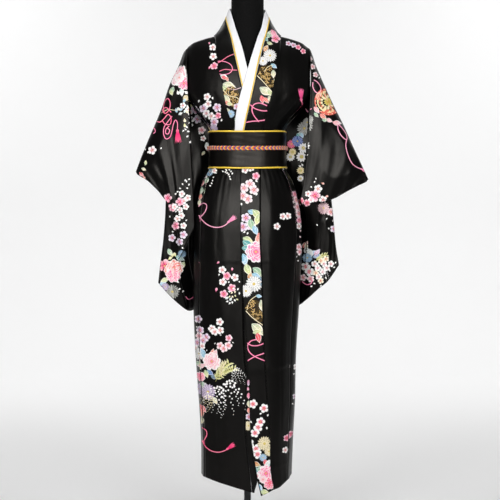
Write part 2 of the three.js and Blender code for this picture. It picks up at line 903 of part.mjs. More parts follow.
const sashMiddle = (SASH_TOP + SASH_BOTTOM) / 2;
const lowEdge = SASH_BOTTOM + SASH_PIPING_HEIGHT + FIT_GAP;
const highEdge = SASH_TOP - SASH_PIPING_HEIGHT - FIT_GAP;
const sashRows = [lowEdge, mix(lowEdge, sashMiddle, 0.5), sashMiddle, mix(sashMiddle, highEdge, 0.5), highEdge];
put("sash", band(sashRows, 0, CLOTH + 0.4, 48), satin);
put("sash_piping_top", band([highEdge + FIT_GAP, SASH_TOP], 0.4, CLOTH + 1, 48), gold);
put("sash_piping_bottom", band([SASH_BOTTOM, lowEdge - FIT_GAP], 0.4, CLOTH + 1, 48), gold);
const cordRows = [CORD_Z - CORD_HEIGHT / 2, CORD_Z, CORD_Z + CORD_HEIGHT / 2];
put("sash_cord", band(cordRows, CORD_DEPTH + 2 * FIT_GAP, CORD_DEPTH, 48), cord);

put("form_torso", await dressForm(), jersey);
put("form_neck_cap", turnedSolid([[NECK_RADIUS, FORM_TOP + FIT_GAP], [NECK_RADIUS, FORM_TOP + 8], [NECK_RADIUS - 6, FORM_TOP + 14]]), grey);
put("form_pole", turnedSolid([[POLE_RADIUS, BASE_HEIGHT + FIT_GAP], [POLE_RADIUS, FORM_BOTTOM - FIT_GAP]]), grey);
put("form_base", turnedSolid([[BASE_RADIUS, 0], [BASE_RADIUS, BASE_HEIGHT - 4], [BASE_RADIUS - 6, BASE_HEIGHT]]), grey);

export default group;
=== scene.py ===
# %% [markdown]
# # A yukata on a dress form
# A yukata is cut from straight lengths of cloth: two fronts, two backs, a narrow overlap strip on
# each front, two bag-shaped sleeves and a long neckband. It is crossed left over right and tied
# with a sash. The solids of the part are already here as a fixed frame, in metres; this lesson
# dresses them with fine cloth, prints, cords and piping.

# %% Load the frame
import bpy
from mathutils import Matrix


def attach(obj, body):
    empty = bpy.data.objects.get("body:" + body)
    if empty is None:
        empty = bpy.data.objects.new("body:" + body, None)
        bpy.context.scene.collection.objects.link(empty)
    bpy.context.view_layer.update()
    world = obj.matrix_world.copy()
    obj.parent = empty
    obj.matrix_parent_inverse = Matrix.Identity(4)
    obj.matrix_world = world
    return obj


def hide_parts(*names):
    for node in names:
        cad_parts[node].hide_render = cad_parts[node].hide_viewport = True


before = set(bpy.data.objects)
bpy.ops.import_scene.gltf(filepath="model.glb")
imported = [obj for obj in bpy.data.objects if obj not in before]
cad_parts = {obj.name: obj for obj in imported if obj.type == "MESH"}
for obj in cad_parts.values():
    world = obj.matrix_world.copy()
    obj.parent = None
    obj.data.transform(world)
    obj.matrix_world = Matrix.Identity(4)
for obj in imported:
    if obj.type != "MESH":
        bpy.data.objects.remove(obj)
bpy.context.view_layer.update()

import math

import bpy
import numpy as np
from mathutils import Vector

# %% [markdown]
# ## Camera
# A long lens at chest height, straight from the front, keeps the panels' edges almost parallel.

# %% Camera
EYE = (0.008, -4.5, 0.900)  # metres
SENSOR_WIDTH, LENS_LENGTH = 36.0, 101.25  # millimetres
camera_data = bpy.data.cameras.new("camera")
camera_data.sensor_width = SENSOR_WIDTH
camera_data.lens = LENS_LENGTH
camera = bpy.data.objects.new("camera", camera_data)
camera.location = EYE
camera.rotation_euler = (math.radians(90), 0.0, 0.0)
bpy.context.collection.objects.link(camera)
bpy.context.scene.camera = camera
bpy.context.scene.view_settings.view_transform = "Standard"
print("camera at", EYE)

# %% [markdown]
# ## Reading the pattern tables
# A dressmaker's pattern is a short table of sizes. Each table here holds rows of millimetres,
# and a smooth curve is read between the rows, the same one that the solids were made with.

# %% Smooth tables
def read(table, value, column=1):
    """Smooth value of a column at the given first-column values: a cubic between two rows, whose
    slope at a row is the slope from the row before to the row after."""
    t = np.asarray(table, dtype=float)
    x, y = t[:, 0], t[:, column]
    last = len(x) - 1
    before = np.maximum(np.arange(last + 1) - 1, 0)
    after = np.minimum(np.arange(last + 1) + 1, last)
    slope = (y[after] - y[before]) / (x[after] - x[before])
    v = np.clip(value, x[0], x[-1])
    i = np.clip(np.searchsorted(x, v, side="left") - 1, 0, last - 1)
    h = x[i + 1] - x[i]
    s = (v - x[i]) / h
    s2, s3 = s * s, s * s * s
    return (
        y[i] * (2 * s3 - 3 * s2 + 1)
        + slope[i] * h * (s3 - 2 * s2 + s)
        + y[i + 1] * (3 * s2 - 2 * s3)
        + slope[i + 1] * h * (s3 - s2)
    )


def smooth(a, b, value):
    """0 below a, 1 above b, and an S-shaped rise between."""
    t = np.clip((value - a) / (b - a), 0, 1)
    return t * t * (3 - 2 * t)


def mix(a, b, t):
    """a at share 0 and b at share 1, in a straight line."""
    return a + (b - a) * t


print("halfway up an S-shaped rise", smooth(0, 10, 5))

# %% Body tables, in millimetres
SHOULDER_Z = 1400.0  # above this height the cloth rounds over to the shoulder line
# height, half-width right, half-width left, depth front, depth back
BODY = [
    [100, 146, 138, 106, 108], [190, 146, 138, 107, 108], [292, 147, 142, 109, 110],
    [420, 154, 149, 112, 114], [574, 164, 152, 115, 118], [740, 170, 162, 118, 124],
    [932, 167, 171, 120, 129], [1012, 165, 168, 118, 127], [1076, 155, 158, 111, 117],
    [1120, 143, 144, 103, 106], [1140, 132, 133, 99, 101], [1154, 124, 124, 96, 95],
    [1168, 119, 120, 95, 93], [1180, 118, 119, 95, 92], [1225, 116, 115, 94, 89],
    [1262, 117, 115, 97, 91], [1285, 123, 121, 102, 95], [1312, 141, 140, 108, 101],
    [1345, 168, 171, 113, 108], [1375, 189, 196, 115, 113], [1400, 202, 211, 115, 115],
]
# height, exponent of the rounded cross-section
ROUND = [[100, 2.2], [1180, 2.2], [1285, 2.1], [1400, 1.8]]
# distance from the middle, height of the shoulder line
SHOULDER_LINE = [
    [0, 1625], [60, 1605], [104, 1584], [136, 1575], [173, 1562], [192, 1548], [212, 1536],
]
print("body rows", len(BODY))

# %% [markdown]
# ## The dressed body as one surface
# Every panel lies on the same rounded body, so one function gives all of them: an angle round
# the body, a height, and how far outside the body the cloth lies. Cloth layers then never cut
# through each other, because each keeps its own distance out. The soft folds are part of the
# same function, so all layers fold together.

# %% Pressed creases
# height of a level crease, how far it climbs to the sides, how proud the cloth stands above it
LEVEL_CREASES = [(520.0, 26.0, 1.5), (862.0, 4.0, 0.7)]
FADE_ABOVE, FADE_BELOW, LOWER_LIP = 34, 2.5, 0.9
# angle round the body of an upright crease, its low and its high end
UPRIGHT_CREASES = [(-0.55, 860, 1120), (0.72, 300, 700), (-0.75, 250, 500)]
UPRIGHT_DEPTH, UPRIGHT_WIDTH, UPRIGHT_FADE = 0.7, 0.035, 60
HEM_LINE, HEM_CLIMB, HEM_SIZE, HEM_WIDTH = 212, 15, 0.5, 5.0


def crease(angle, z):
    """Lines where the garment was packed flat. A level one is sharp below and dies away above, an
    upright one is a narrow dent that wanders a little, and the hem's stitching is a low ridge."""
    front = smooth(0.2, 0.5, np.cos(angle))
    total = 0.0
    for level, climb, size in LEVEL_CREASES:
        d = z - level - climb * np.sin(angle) ** 2
        lip = np.where(d > 0, np.exp(-d / FADE_ABOVE), np.exp(d / FADE_BELOW) * LOWER_LIP)
        total = total + size * front * lip
    d = z - HEM_LINE - HEM_CLIMB * np.abs(angle)
    total = total + HEM_SIZE * front * np.exp(-((d / HEM_WIDTH) ** 2)) * smooth(-0.9, -0.6, angle)
    for side, low, high in UPRIGHT_CREASES:
        span = smooth(low, low + UPRIGHT_FADE, z) * smooth(high, high - UPRIGHT_FADE, z)
        away = (angle - side - 0.05 * np.sin(z / 150)) / UPRIGHT_WIDTH
        total = total - UPRIGHT_DEPTH * span * np.exp(-(away ** 2))
    return total


print("creases", len(LEVEL_CREASES) + len(UPRIGHT_CREASES))

# %% Soft folds
WAVE, PLEAT, SLANT, RIPPLE = 1.6, 0.7, 0.9, 0.55  # millimetres outward
SKIRT_FROM, SKIRT_FULL = 1150, 960
PLEATS = (1030, 1140, 1160, 1240)  # heights: pleats start, are full, begin to fade, end
CHEST = (1290, 1330, 1385, 1400)


def between_heights(z, limits):
    """1 between the two inner heights, and an S-shaped fall to 0 at the outer ones."""
    start, full, fading, end = limits
    return smooth(start, full, z) * smooth(end, fading, z)


def fold(angle, z):
    """Millimetres outward. The skirt has 7 and 11 slow waves round the body, which turn as they go
    down, and 23 fine ripples that come and go; under the sash are 46 uneven pleats, and at the
    chest long folds that slant outwards."""
    skirt = smooth(SKIRT_FROM, SKIRT_FULL, z)
    wave = np.cos(7 * angle + z / 260) + 0.6 * np.cos(11 * angle - z / 190 + 1)
    broad = WAVE * skirt * (wave + 1.6)
    pleat = PLEAT * between_heights(z, PLEATS) * np.cos(46 * angle + 5 * np.sin(3 * angle))
    sides = smooth(0.3, 0.8, np.abs(angle))
    slant = SLANT * between_heights(z, CHEST) * np.cos(26 * np.abs(angle) - z / 22) * sides
    comes_and_goes = np.cos(z / 61 + 4 * angle) * (0.5 + 0.5 * np.cos(z / 133))
    ripple = RIPPLE * skirt * np.sin(23 * angle + z / 90) * comes_and_goes
    return broad + pleat + slant + ripple + crease(angle, z)


print("fold at the front of the skirt", round(float(fold(0.0, 700.0)), 2), "mm")


# %% The body surface
def half_width(side, z):
    """Half the body's width at a height: the right half's at negative sides."""
    return np.where(side < 0, read(BODY, z, 1), read(BODY, z, 2))


def angle_at(x, z, off=0.0):
    """Angle round the body of a sideways position, from the rounded cross-section at its height."""
    w = half_width(x, z) + off + fold(0.0, z)
    share = np.clip(np.abs(x) / w, 0, 1)
    return np.sign(x) * np.arcsin(share ** (read(ROUND, z) / 2))


def shell(angle, h, off=0.0):
    """Point of the body surface moved out by off. h up to 0 is millimetres below the shoulder
    height; above 0 it is the angle in degrees over the shoulder, 90 at the shoulder line."""
    angle, h = np.broadcast_arrays(np.asarray(angle, float), np.asarray(h, float))
    z = SHOULDER_Z + np.minimum(0, h)
    out = off + fold(angle, z)
    n = read(ROUND, z)
    s, c = np.sin(angle), np.cos(angle)
    x = np.sign(s) * (half_width(s, z) + out) * np.abs(s) ** (2 / n)
    c = np.sign(c) * np.abs(c) ** (2 / n)
    depth = np.where(c > 0, read(BODY, z, 3), read(BODY, z, 4)) + out
    top = read(SHOULDER_LINE, np.abs(x)) + out
    phi = np.radians(np.clip(h, 0, 90))
    y = -depth * c * np.cos(phi)
    return np.stack([x, y, np.where(h > 0, mix(SHOULDER_Z, top, np.sin(phi)), z)], axis=-1)


def row_at(x, z):
    """h of a height on the front, at a sideways position."""
    top = read(SHOULDER_LINE, np.abs(x))
    over = np.degrees(np.arcsin(np.clip((z - SHOULDER_Z) / (top - SHOULDER_Z), 0, 1)))
    return np.where(z <= SHOULDER_Z, z - SHOULDER_Z, over)


def height_at(x, h):
    """Height of a row at a sideways position."""
    top = read(SHOULDER_LINE, np.abs(x))
    arc = mix(SHOULDER_Z, top, np.sin(np.radians(np.clip(h, 0, 90))))
    return np.where(h <= 0, SHOULDER_Z + h, arc)


def on_front(x, z, off=0.0):
    """Point of the front surface at a sideways position and a height."""
    return shell(angle_at(x, np.minimum(z, SHOULDER_Z), off), row_at(x, z), off)


CORD_Z = 1224.0  # middle of the braided sash cord
print("half-width under the cord", float(half_width(1, CORD_Z)), "mm")

# %% [markdown]
# ## From grids to meshes
# A sheet of cloth is a grid of points. The helper joins one or more grids into one mesh,
# welds the points they share, and a Solidify modifier gives the wall on the inner side.

# %% Mesh helpers
MM = 0.001  # metres
CLOTH = 1.2 * MM


def new_object(name, verts, faces):
    """A smooth-shaded object from points in metres and the numbers of each face's points."""
    mesh = bpy.data.meshes.new(name)
    mesh.from_pydata(np.asarray(verts).tolist(), [], [tuple(map(int, f)) for f in faces])
    mesh.validate()
    mesh.polygons.foreach_set("use_smooth", np.ones(len(mesh.polygons), bool))
    mesh.update()
    piece = bpy.data.objects.new(name, mesh)
    bpy.context.collection.objects.link(piece)
    return piece


def grid_faces(rows, columns, wrap=False):
    """Four-sided faces of a grid whose points are numbered row by row; wrap joins its sides."""
    across = np.arange(columns if wrap else columns - 1)
    r, c = np.meshgrid(np.arange(rows - 1), across, indexing="ij")
    d = (c + 1) % columns
    quads = [r * columns + c, r * columns + d, (r + 1) * columns + d, (r + 1) * columns + c]
    return np.stack(quads, axis=-1).reshape(-1, 4)


def weld(grids):
    """One list of points and faces from several grids, with equal points made one."""
    points = np.concatenate([g.reshape(-1, 3) for g in grids])
    keys = np.round(points, 2)
    _, first, where = np.unique(keys, axis=0, return_index=True, return_inverse=True)
    where = where.reshape(-1)
    faces, start = [], 0
    for g in grids:
        faces.append(where[grid_faces(g.shape[0], g.shape[1]) + start])
        start += g.shape[0] * g.shape[1]
    return points[first], np.concatenate(faces)


def cloth_piece(name, grids):
    """The welded grids as cloth, whose wall grows inwards from the grids."""
    points, faces = weld(grids)
    piece = new_object(name, points * MM, faces)
    wall = piece.modifiers.new("wall", "SOLIDIFY")
    wall.thickness = CLOTH
    wall.offset = -1
    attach(piece, "root")
    return piece


def flat_area(grids):
    """Area of the grids in square metres, from the two triangles of every cell."""
    total = 0.0
    for g in grids:
        a, b, c, d = g[:-1, :-1], g[:-1, 1:], g[1:, 1:], g[1:, :-1]
        total += np.linalg.norm(np.cross(b - a, c - a), axis=-1).sum() / 2
        total += np.linalg.norm(np.cross(c - a, d - a), axis=-1).sum() / 2
    return float(total * MM * MM)


print("cloth wall", CLOTH, "m")

# %% [markdown]
# ## Panel edges
# The fronts run from the side seam to the overlap strip, and above the sash to the neckband.
# The wearer's left front lies over the right one, so it is lifted near the middle and comes
# down to the body at the side seam and the shoulder.

# %% Edge tables, in millimetres: height, sideways position
# the side seam's second column is an angle from the front
SIDE_EDGE = [[100, 62], [1150, 62], [1285, 70], [1400, 72]]
UNDERARM_DEG, UNDERARM_LOW, UNDERARM_HIGH = 36, 1288, 1385
NECK_HALF_WIDTH, NECK_DROP_DEG = 107, 34.6
RIGHT_FRONT_EDGE = [
    [100, 14], [143, 14], [336, -6], [495, -2], [558, -9], [745, -14], [1150, -14], [1225, -12],
    [1271, -28], [1299, -40], [1343, -56], [1401, -69], [1456, -80], [1516, -88], [1545, -94],
    [1566, -105], [1600, -110],
]
LEFT_FRONT_EDGE = [
    [100, 83], [152, 83], [184, 76], [256, 72], [321, 72], [412, 65], [608, 51], [682, 48],
    [807, 45], [932, 39], [1150, 41], [1225, 34], [1271, 37], [1331, 53], [1394, 69], [1466, 85],
    [1526, 93], [1545, 97], [1566, 107], [1600, 111],
]
LEFT_STRIP_EDGE = [
    [100, 47], [133, 43], [184, 31], [337, 9], [496, 6], [521, 0], [583, 0], [682, -8],
    [757, -14], [869, -18], [932, -21], [1222, -23],
]
RIGHT_STRIP_EDGE = [[100, 20], [142, 22], [184, 33], [495, 45], [1222, 45]]
# sideways position, height of the hem
RIGHT_HEM = [[-150, 188], [-131, 182], [-86, 170], [-48, 160], [14, 143], [22, 141], [60, 138]]
LEFT_HEM = [[20, 131], [43, 131], [83, 149], [102, 155], [128, 174], [145, 187]]
BACK_HEM_Z = 186
STRIP_LOW, STRIP_TOP = 140.0, 1220.0
# The wearer's left front lies over the right one by OVER_LIFT, out to the side and over the shoulder
OVER_LIFT = 5.4
LIFT_FADES_FROM, LIFT_ENDS_AT = 62, 112
LIFT_FADES_FROM_DEG, LIFT_ENDS_AT_DEG = 30, 62


def over_lift(x, h):
    """Lift of the left front, which falls to 0 towards the side and towards the shoulder line."""
    upward = np.where(h > 0, 1 - smooth(LIFT_FADES_FROM_DEG, LIFT_ENDS_AT_DEG, h), 1.0)
    return OVER_LIFT * (1 - smooth(LIFT_FADES_FROM, LIFT_ENDS_AT, x)) * upward


def edge_at(table, h):
    """Sideways position of an edge at a row; over the shoulder the height depends on it."""
    x = read(table, SHOULDER_Z + np.minimum(0, h))
    for _ in range(12):
        x = read(table, height_at(x, h))
    return x


print("right front edge at the sash", float(read(RIGHT_FRONT_EDGE, CORD_Z)), "mm")

# %% Panels as grids
ROW_STEP, LOWEST_ROW_Z = 5.0, 150.0
TOP_ROW_DEG, SHOULDER_ROWS = 89.6, 30  # the rows over the shoulder end just short of its line
low_rows = np.arange(LOWEST_ROW_Z, SHOULDER_Z, ROW_STEP) - SHOULDER_Z
panel_rows = np.concatenate([low_rows, np.linspace(0, TOP_ROW_DEG, SHOULDER_ROWS)])
SEAM_GAP = 0.5
SIDE_SEAM_DEG, CENTRE_BACK_DEG, NECK_GAP_DEG = 0.25, 179.8, 0.4
SIDE_HEM_RIGHT, SIDE_HEM_LEFT = -134, 127  # where the hem meets the side seams
STRIP_ROWS = 150


def hem_down(h, hem):
    """Row heights stretched so that the lowest row lies on the hem."""
    low = h.min()
    return np.where(h < 0, h * (SHOULDER_Z - hem) / -low, h)


def front_panel(side, columns):
    """Angles spread from the inner edge to the side seam at every row, moved out by the lift."""
    inner = RIGHT_FRONT_EDGE if side < 0 else LEFT_FRONT_EDGE
    hem = RIGHT_HEM if side < 0 else LEFT_HEM
    share = np.linspace(0, 1, columns)[None, :]
    h = np.repeat(panel_rows[:, None], columns, axis=1)
    for _ in range(2):
        z = SHOULDER_Z + np.minimum(0, h)
        edge = edge_at(inner, h)
        lift = over_lift(edge, h) if side > 0 else 0.0
        a = angle_at(edge, z, lift)
        b = side * np.radians(read(SIDE_EDGE, z))
        angle = mix(a, b, share)
        for _ in range(4):
            lift = over_lift(shell(angle, h, lift)[..., 0], h) if side > 0 else 0.0
        points = shell(angle, h, lift)
        h = hem_down(panel_rows[:, None], read(hem, points[..., 0]))
    return points if side > 0 else points[:, ::-1]


def overlap_strip(side, columns):
    """Positions spread evenly from the seam to the free edge at every height."""
    seam = RIGHT_FRONT_EDGE if side < 0 else LEFT_FRONT_EDGE
    free = RIGHT_STRIP_EDGE if side < 0 else LEFT_STRIP_EDGE
    hem = RIGHT_HEM if side < 0 else LEFT_HEM
    share = np.linspace(0, 1, columns)[None, :]
    t = np.linspace(0, 1, STRIP_ROWS)[:, None]
    z = mix(STRIP_LOW, STRIP_TOP, t) * np.ones_like(share)
    for _ in range(3):
        x = mix(read(seam, z) - side * SEAM_GAP, read(free, z), share)
        z = mix(read(hem, x), STRIP_TOP, t)
    lift = over_lift(x, z - SHOULDER_Z) if side > 0 else 0.0
    points = shell(angle_at(x, z, lift), z - SHOULDER_Z, lift)
    return points if side < 0 else points[:, ::-1]


def back_panel(side, columns):
    """Angles spread from the side seam to the centre back; over the shoulder the rows end at
    the neckline."""
    share = np.linspace(0, 1, columns)[None, :]
    at_seam = read(RIGHT_HEM, SIDE_HEM_RIGHT) if side < 0 else read(LEFT_HEM, SIDE_HEM_LEFT)
    hem = mix(at_seam, BACK_HEM_Z, smooth(0.0, 0.25, share))
    h = hem_down(panel_rows[:, None], hem)
    z = SHOULDER_Z + np.minimum(0, h)
    opening = UNDERARM_DEG * smooth(UNDERARM_LOW, UNDERARM_HIGH, z)
    a = read(SIDE_EDGE, z) + SIDE_SEAM_DEG + opening
    angle = side * np.radians(mix(a, CENTRE_BACK_DEG, share))
    x = shell(angle, np.minimum(h, 0))[..., 0]
    t = np.clip(np.abs(x) / NECK_HALF_WIDTH, 0, 1)
    top = 90 - NECK_DROP_DEG * np.sqrt(1 - t * t) - NECK_GAP_DEG
    points = shell(angle, np.where(h > 0, h / TOP_ROW_DEG * top, h))
    return points if side > 0 else points[:, ::-1]


print("front panel rows", len(panel_rows))

# %% [markdown]
# ## Collars
# The neckband runs from the hidden end of the right front, up round the neck, and down over the
# sash on the left front. A white collar shows inside it, edged with gold piping. All three are
# cut from one grid of points across the band, so each lies exactly on the one below.

# %% Collar table
# outer edge x and row, join x, height and depth, inner edge x, height and depth, standing share
COLLAR = [
    [-20, -175, 24, 1232, 0, 44, 1238, 0, 0],
    [-36, -129, 14, 1277, 0, 42, 1283, 0, 0],
    [-48, -101, 7, 1307, 0, 35, 1313, 0, 0],
    [-64, -57, -5, 1352, 0, 24, 1360, 0, 0],
    [-77, 1, -18, 1411, 0, 12, 1418, 0, 0],
    [-88, 17, -31, 1470, -99, -2, 1476, -101, 0],
    [-96, 38, -44, 1528, -86, -16, 1534, -89, 0],
    [-101, 60, -52, 1568, -66, -27, 1570, -72, 0.5],
    [-105, 82, -61, 1604, -38, -42, 1618, -44, 1],
    [-98, 101, -68, 1636, -6, -55, 1664, -12, 1],
    [-76, 113, -64, 1648, 30, -57, 1676, 24, 1],
    [-42, 121, -40, 1652, 62, -36, 1680, 57, 1],
    [0, 124, 0, 1653, 75, 0, 1681, 70, 1],
    [42, 121, 40, 1652, 62, 36, 1679, 57, 1],
    [76, 113, 65, 1646, 30, 57, 1672, 24, 1],
    [98, 101, 69, 1633, -6, 54, 1654, -12, 1],
    [105, 82, 64, 1602, -38, 45, 1608, -44, 1],
    [104, 60, 57, 1570, -64, 34, 1576, -70, 0.5],
    [101, 38, 50, 1538, -84, 26, 1548, -85, 0],
    [93, 19, 35, 1478, -98, 8, 1488, -100, 0],
    [79, 2, 21, 1412, 0, -11, 1424, 0, 0],
    [67, -44, 11, 1368, 0, -24, 1378, 0, 0],
    [55, -90, -2, 1312, 0, -37, 1318, 0, 0],
    [45, -129, -10, 1274, 0, -40, 1277, 0, 0],
    [42, -175, -20, 1228, 0, -48, 1231, 0, 0],
]
BACK_STATION = 12  # the row at the middle of the nape
TUCK, PIPING_GAP, PIPING_WIDTH = 6.0, 1.0, 4.0
BAND_LIFT, PIPING_LIFT = 3.1, 1.9
BAND_COLUMNS, WHITE_COLUMNS = 12, 8
ROWS_PER_STATION = 10
FLAT_UP_TO, TABLES_END = 1580, 1600  # heights where the collars leave the fronts
NAPE_BOW = 8
print("collar stations", len(COLLAR))


# %% Collar grid
def collar_grid():
    """Rows along the neckband and columns across it: the outer edge, evenly to the join with the
    white collar, then to the inner edge at the neck. Low rows lie on the body surface; standing
    rows follow straight lines between their edges, bowed out a little."""
    table = [[i, *row] for i, row in enumerate(COLLAR)]
    v = np.linspace(0, len(COLLAR) - 1, (len(COLLAR) - 1) * ROWS_PER_STATION + 1)
    xo, ho, xj, zj, yj, xi, zi, yi, stand = (read(table, v, c + 1) for c in range(9))
    stand = np.clip(stand, 0, 1)
    over = v > BACK_STATION
    behind = ho > 90
    h = np.where(behind, 180 - ho, ho)

    def lift_at(x, row):
        """The lift of the left half, which lies over the right one."""
        return np.where(over, over_lift(x, row), 0.0)

    level = SHOULDER_Z + np.minimum(0, ho)
    angle = angle_at(xo, level, lift_at(xo, h))
    angle = np.where(behind, np.where(xo < 0, -1, 1) * np.pi - angle, angle)
    outer = shell(angle, h, lift_at(xo, h))

    def surface(x, z):
        """Point on the front of the body, with the half's own lift."""
        low = np.minimum(z, FLAT_UP_TO)
        return on_front(x, np.minimum(z, TABLES_END), lift_at(x, row_at(x, low)))

    def place(x, y, z):
        """On the body surface, or free in space, by the standing share."""
        return mix(surface(x, z), np.stack([x, y, z], -1), stand[:, None])

    join, inner = place(xj, yj, zj), place(xi, yi, zi)

    def between(a, b, share):
        """Points between two edges: on the surface, or on a line that bows out."""
        share = np.broadcast_to(share, v.shape)[:, None]
        p = mix(a, b, share)
        flat = p[:, :2] / np.linalg.norm(p[:, :2], axis=1, keepdims=True)
        bowed = p + NAPE_BOW * share * (1 - share) * np.concatenate([flat, 0 * share], axis=1)
        free = ((stand >= 1) | (ho > 60))[:, None]
        return np.where(free, bowed, mix(surface(p[:, 0], p[:, 2]), bowed, stand[:, None]))

    band = np.linalg.norm(join - outer, axis=1)
    neck = np.linalg.norm(inner - join, axis=1)
    shares = np.linspace(0, 1, BAND_COLUMNS)[1:-1]
    columns = [outer] + [between(outer, join, s) for s in shares]
    columns += [between(outer, join, 1 - TUCK / band), join]
    columns += [between(join, inner, d / neck) for d in (PIPING_GAP, PIPING_GAP + PIPING_WIDTH)]
    columns += [between(join, inner, s) for s in np.linspace(0.3, 0.92, WHITE_COLUMNS)]
    columns.append(inner)
    return np.stack(columns, axis=1)


def grid_normals(grid):
    """Outward unit vector at every point, from the neighbours along and across."""
    n = np.cross(np.gradient(grid, axis=1), np.gradient(grid, axis=0))
    return n / np.linalg.norm(n, axis=-1, keepdims=True)


collars = collar_grid()
collar_out = grid_normals(collars)
JOIN = BAND_COLUMNS
band_grid = (collars + BAND_LIFT * collar_out)[:, list(range(BAND_COLUMNS - 1)) + [JOIN]]
white_grid = collars[:, JOIN - 1:]
piping_out = collar_out[:, JOIN + 1]
piping_line = mix(collars[:, JOIN + 1], collars[:, JOIN + 2], 0.5) + PIPING_LIFT * piping_out
print("collar grid", collars.shape)

# %% [markdown]
# ## Sleeves
# Each sleeve is one folded length of cloth: a fold along the top, a front layer that ends in the
# open cuff, a back layer, and below the cuff a sewn bag. With no arm inside, the front layer
# drops over the bag. Each layer is a sheet stretched between its four edge lines, with drape
# folds running down from the shoulder.

# %% Sleeve tables, in millimetres
SLEEVE_RIGHT = {
    "top": [[-192.3, -2, 1546], [-204, 0, 1532], [-222, 0, 1486], [-248, 0, 1432], [-277, 0, 1348],
            [-312, -2, 1265], [-338, -4, 1201], [-357, -6, 1150]],
    "flap_low": [[-168, -52, 967], [-188, -52, 930], [-208, -50, 891], [-227, -48, 970],
                 [-258, -42, 1053], [-310, -28, 1113], [-352, -12, 1142]],
    "flap_inner": [[-192.3, -2, 1546], [-192.3, -28, 1505], [-191.5, -36, 1440], [-185, -47, 1344],
                   [-179, -52, 1248], [-173, -50, 1122], [-168, -52, 967]],
    "pouch_top": [[-208, -50, 891], [-228, -20, 984], [-258, -12, 1060], [-262, -2, 1058]],
    "back_inner": [[-192.3, -2, 1546], [-192.3, 26, 1500], [-191.5, 36, 1420], [-154, 68, 1336],
                   [-118, 66, 1275], [-114, 66, 1190], [-128, 84, 1110], [-146, 90, 960],
                   [-150, 86, 830], [-154, 78, 716]],
    "back_outer_high": [[-357, -6, 1150], [-310, 14, 1116], [-262, -2, 1058]],
    "back_outer_low": [[-262, -2, 1058], [-264, 0, 1009], [-270, 2, 932], [-280, 2, 849],
                       [-286, 2, 795]],
    "bottom": [[-154, 78, 716], [-184, 36, 705], [-197, 16, 708], [-229, 6, 734], [-261, 2, 766],
               [-286, 2, 795]],
    "pouch_inner": [[-168, -52, 967], [-187, -5, 930], [-184, 30, 850], [-154, 78, 716]],
}
SLEEVE_LEFT = {
    "top": [[201.1, -2, 1540], [209, 0, 1520], [218, 0, 1492], [234, 0, 1454], [251, 0, 1416],
            [277, 0, 1360], [308, 0, 1298], [338, 0, 1231], [369, -2, 1164], [386, -6, 1126]],
    "flap_low": [[168, -52, 1059], [190, -52, 1054], [214, -50, 1049], [265, -42, 1059],
                 [326, -26, 1091], [380, -12, 1119]],
    "flap_inner": [[201.1, -2, 1540], [201.1, -28, 1500], [201.1, -38, 1430], [197, -48, 1338],
                   [192, -52, 1248], [181, -50, 1135], [168, -52, 1059]],
    "pouch_top": [[214, -50, 1049], [232, -20, 1060], [262, -12, 1070], [268, -2, 1068]],
    "back_inner": [[201.1, -2, 1540], [201.1, 26, 1500], [201.1, 36, 1420], [145, 72, 1336],
                   [109, 66, 1275], [114, 66, 1190], [130, 84, 1110], [150, 90, 960],
                   [150, 86, 830], [150, 76, 716]],
    "back_outer_high": [[386, -6, 1126], [326, 12, 1094], [268, -2, 1068]],
    "back_outer_low": [[268, -2, 1068], [276, 0, 993], [283, 2, 913], [293, 2, 852]],
    "bottom": [[150, 76, 716], [172, 42, 726], [197, 16, 747], [228, 6, 776], [258, 2, 801],
               [293, 2, 852]],
    "pouch_inner": [[168, -52, 1059], [188, -2, 1000], [186, 36, 860], [150, 76, 716]],
}
FLAP_CORNER = 2  # the point of flap_low where the fold ends and the cuff begins
COLUMNS, CORNER_COLUMNS = 60, 18
FLAP_ROWS, CUFF_ROWS, BAG_ROWS = 60, 24, 44
FLAP_BULGE, BACK_BULGE, BAG_BULGE = -12, 14, -8
FLAP_DRAPE, BACK_DRAPE, BAG_DRAPE = 2.2, 2.0, 1.8
CURVE_STEPS = 600
print("sleeve edge lines", len(SLEEVE_RIGHT), len(SLEEVE_LEFT))


# %% Sleeve surfaces
def along(line, count):
    """count + 1 points evenly spaced along a smooth curve through the given points: a cubic
    between two points, whose slopes follow the square root of the distances between them."""
    p = np.asarray(line, dtype=float)
    knots = np.concatenate([[0], np.cumsum(np.linalg.norm(np.diff(p, axis=0), axis=1) ** 0.5)])
    table = np.concatenate([knots[:, None], p], axis=1)
    t = np.linspace(0, knots[-1], CURVE_STEPS)
    fine = np.stack([read(table, t, c) for c in (1, 2, 3)], axis=1)
    length = np.concatenate([[0], np.cumsum(np.linalg.norm(np.diff(fine, axis=0), axis=1))])
    even = np.linspace(0, length[-1], count + 1)
    out = np.stack([np.interp(even, length, fine[:, c]) for c in range(3)], axis=1)
    out[0], out[-1] = p[0], p[-1]
    return out


def joined(a, b):
    """Two lines as one, where the first ends at the start of the second."""
    return np.concatenate([a, b[1:]])


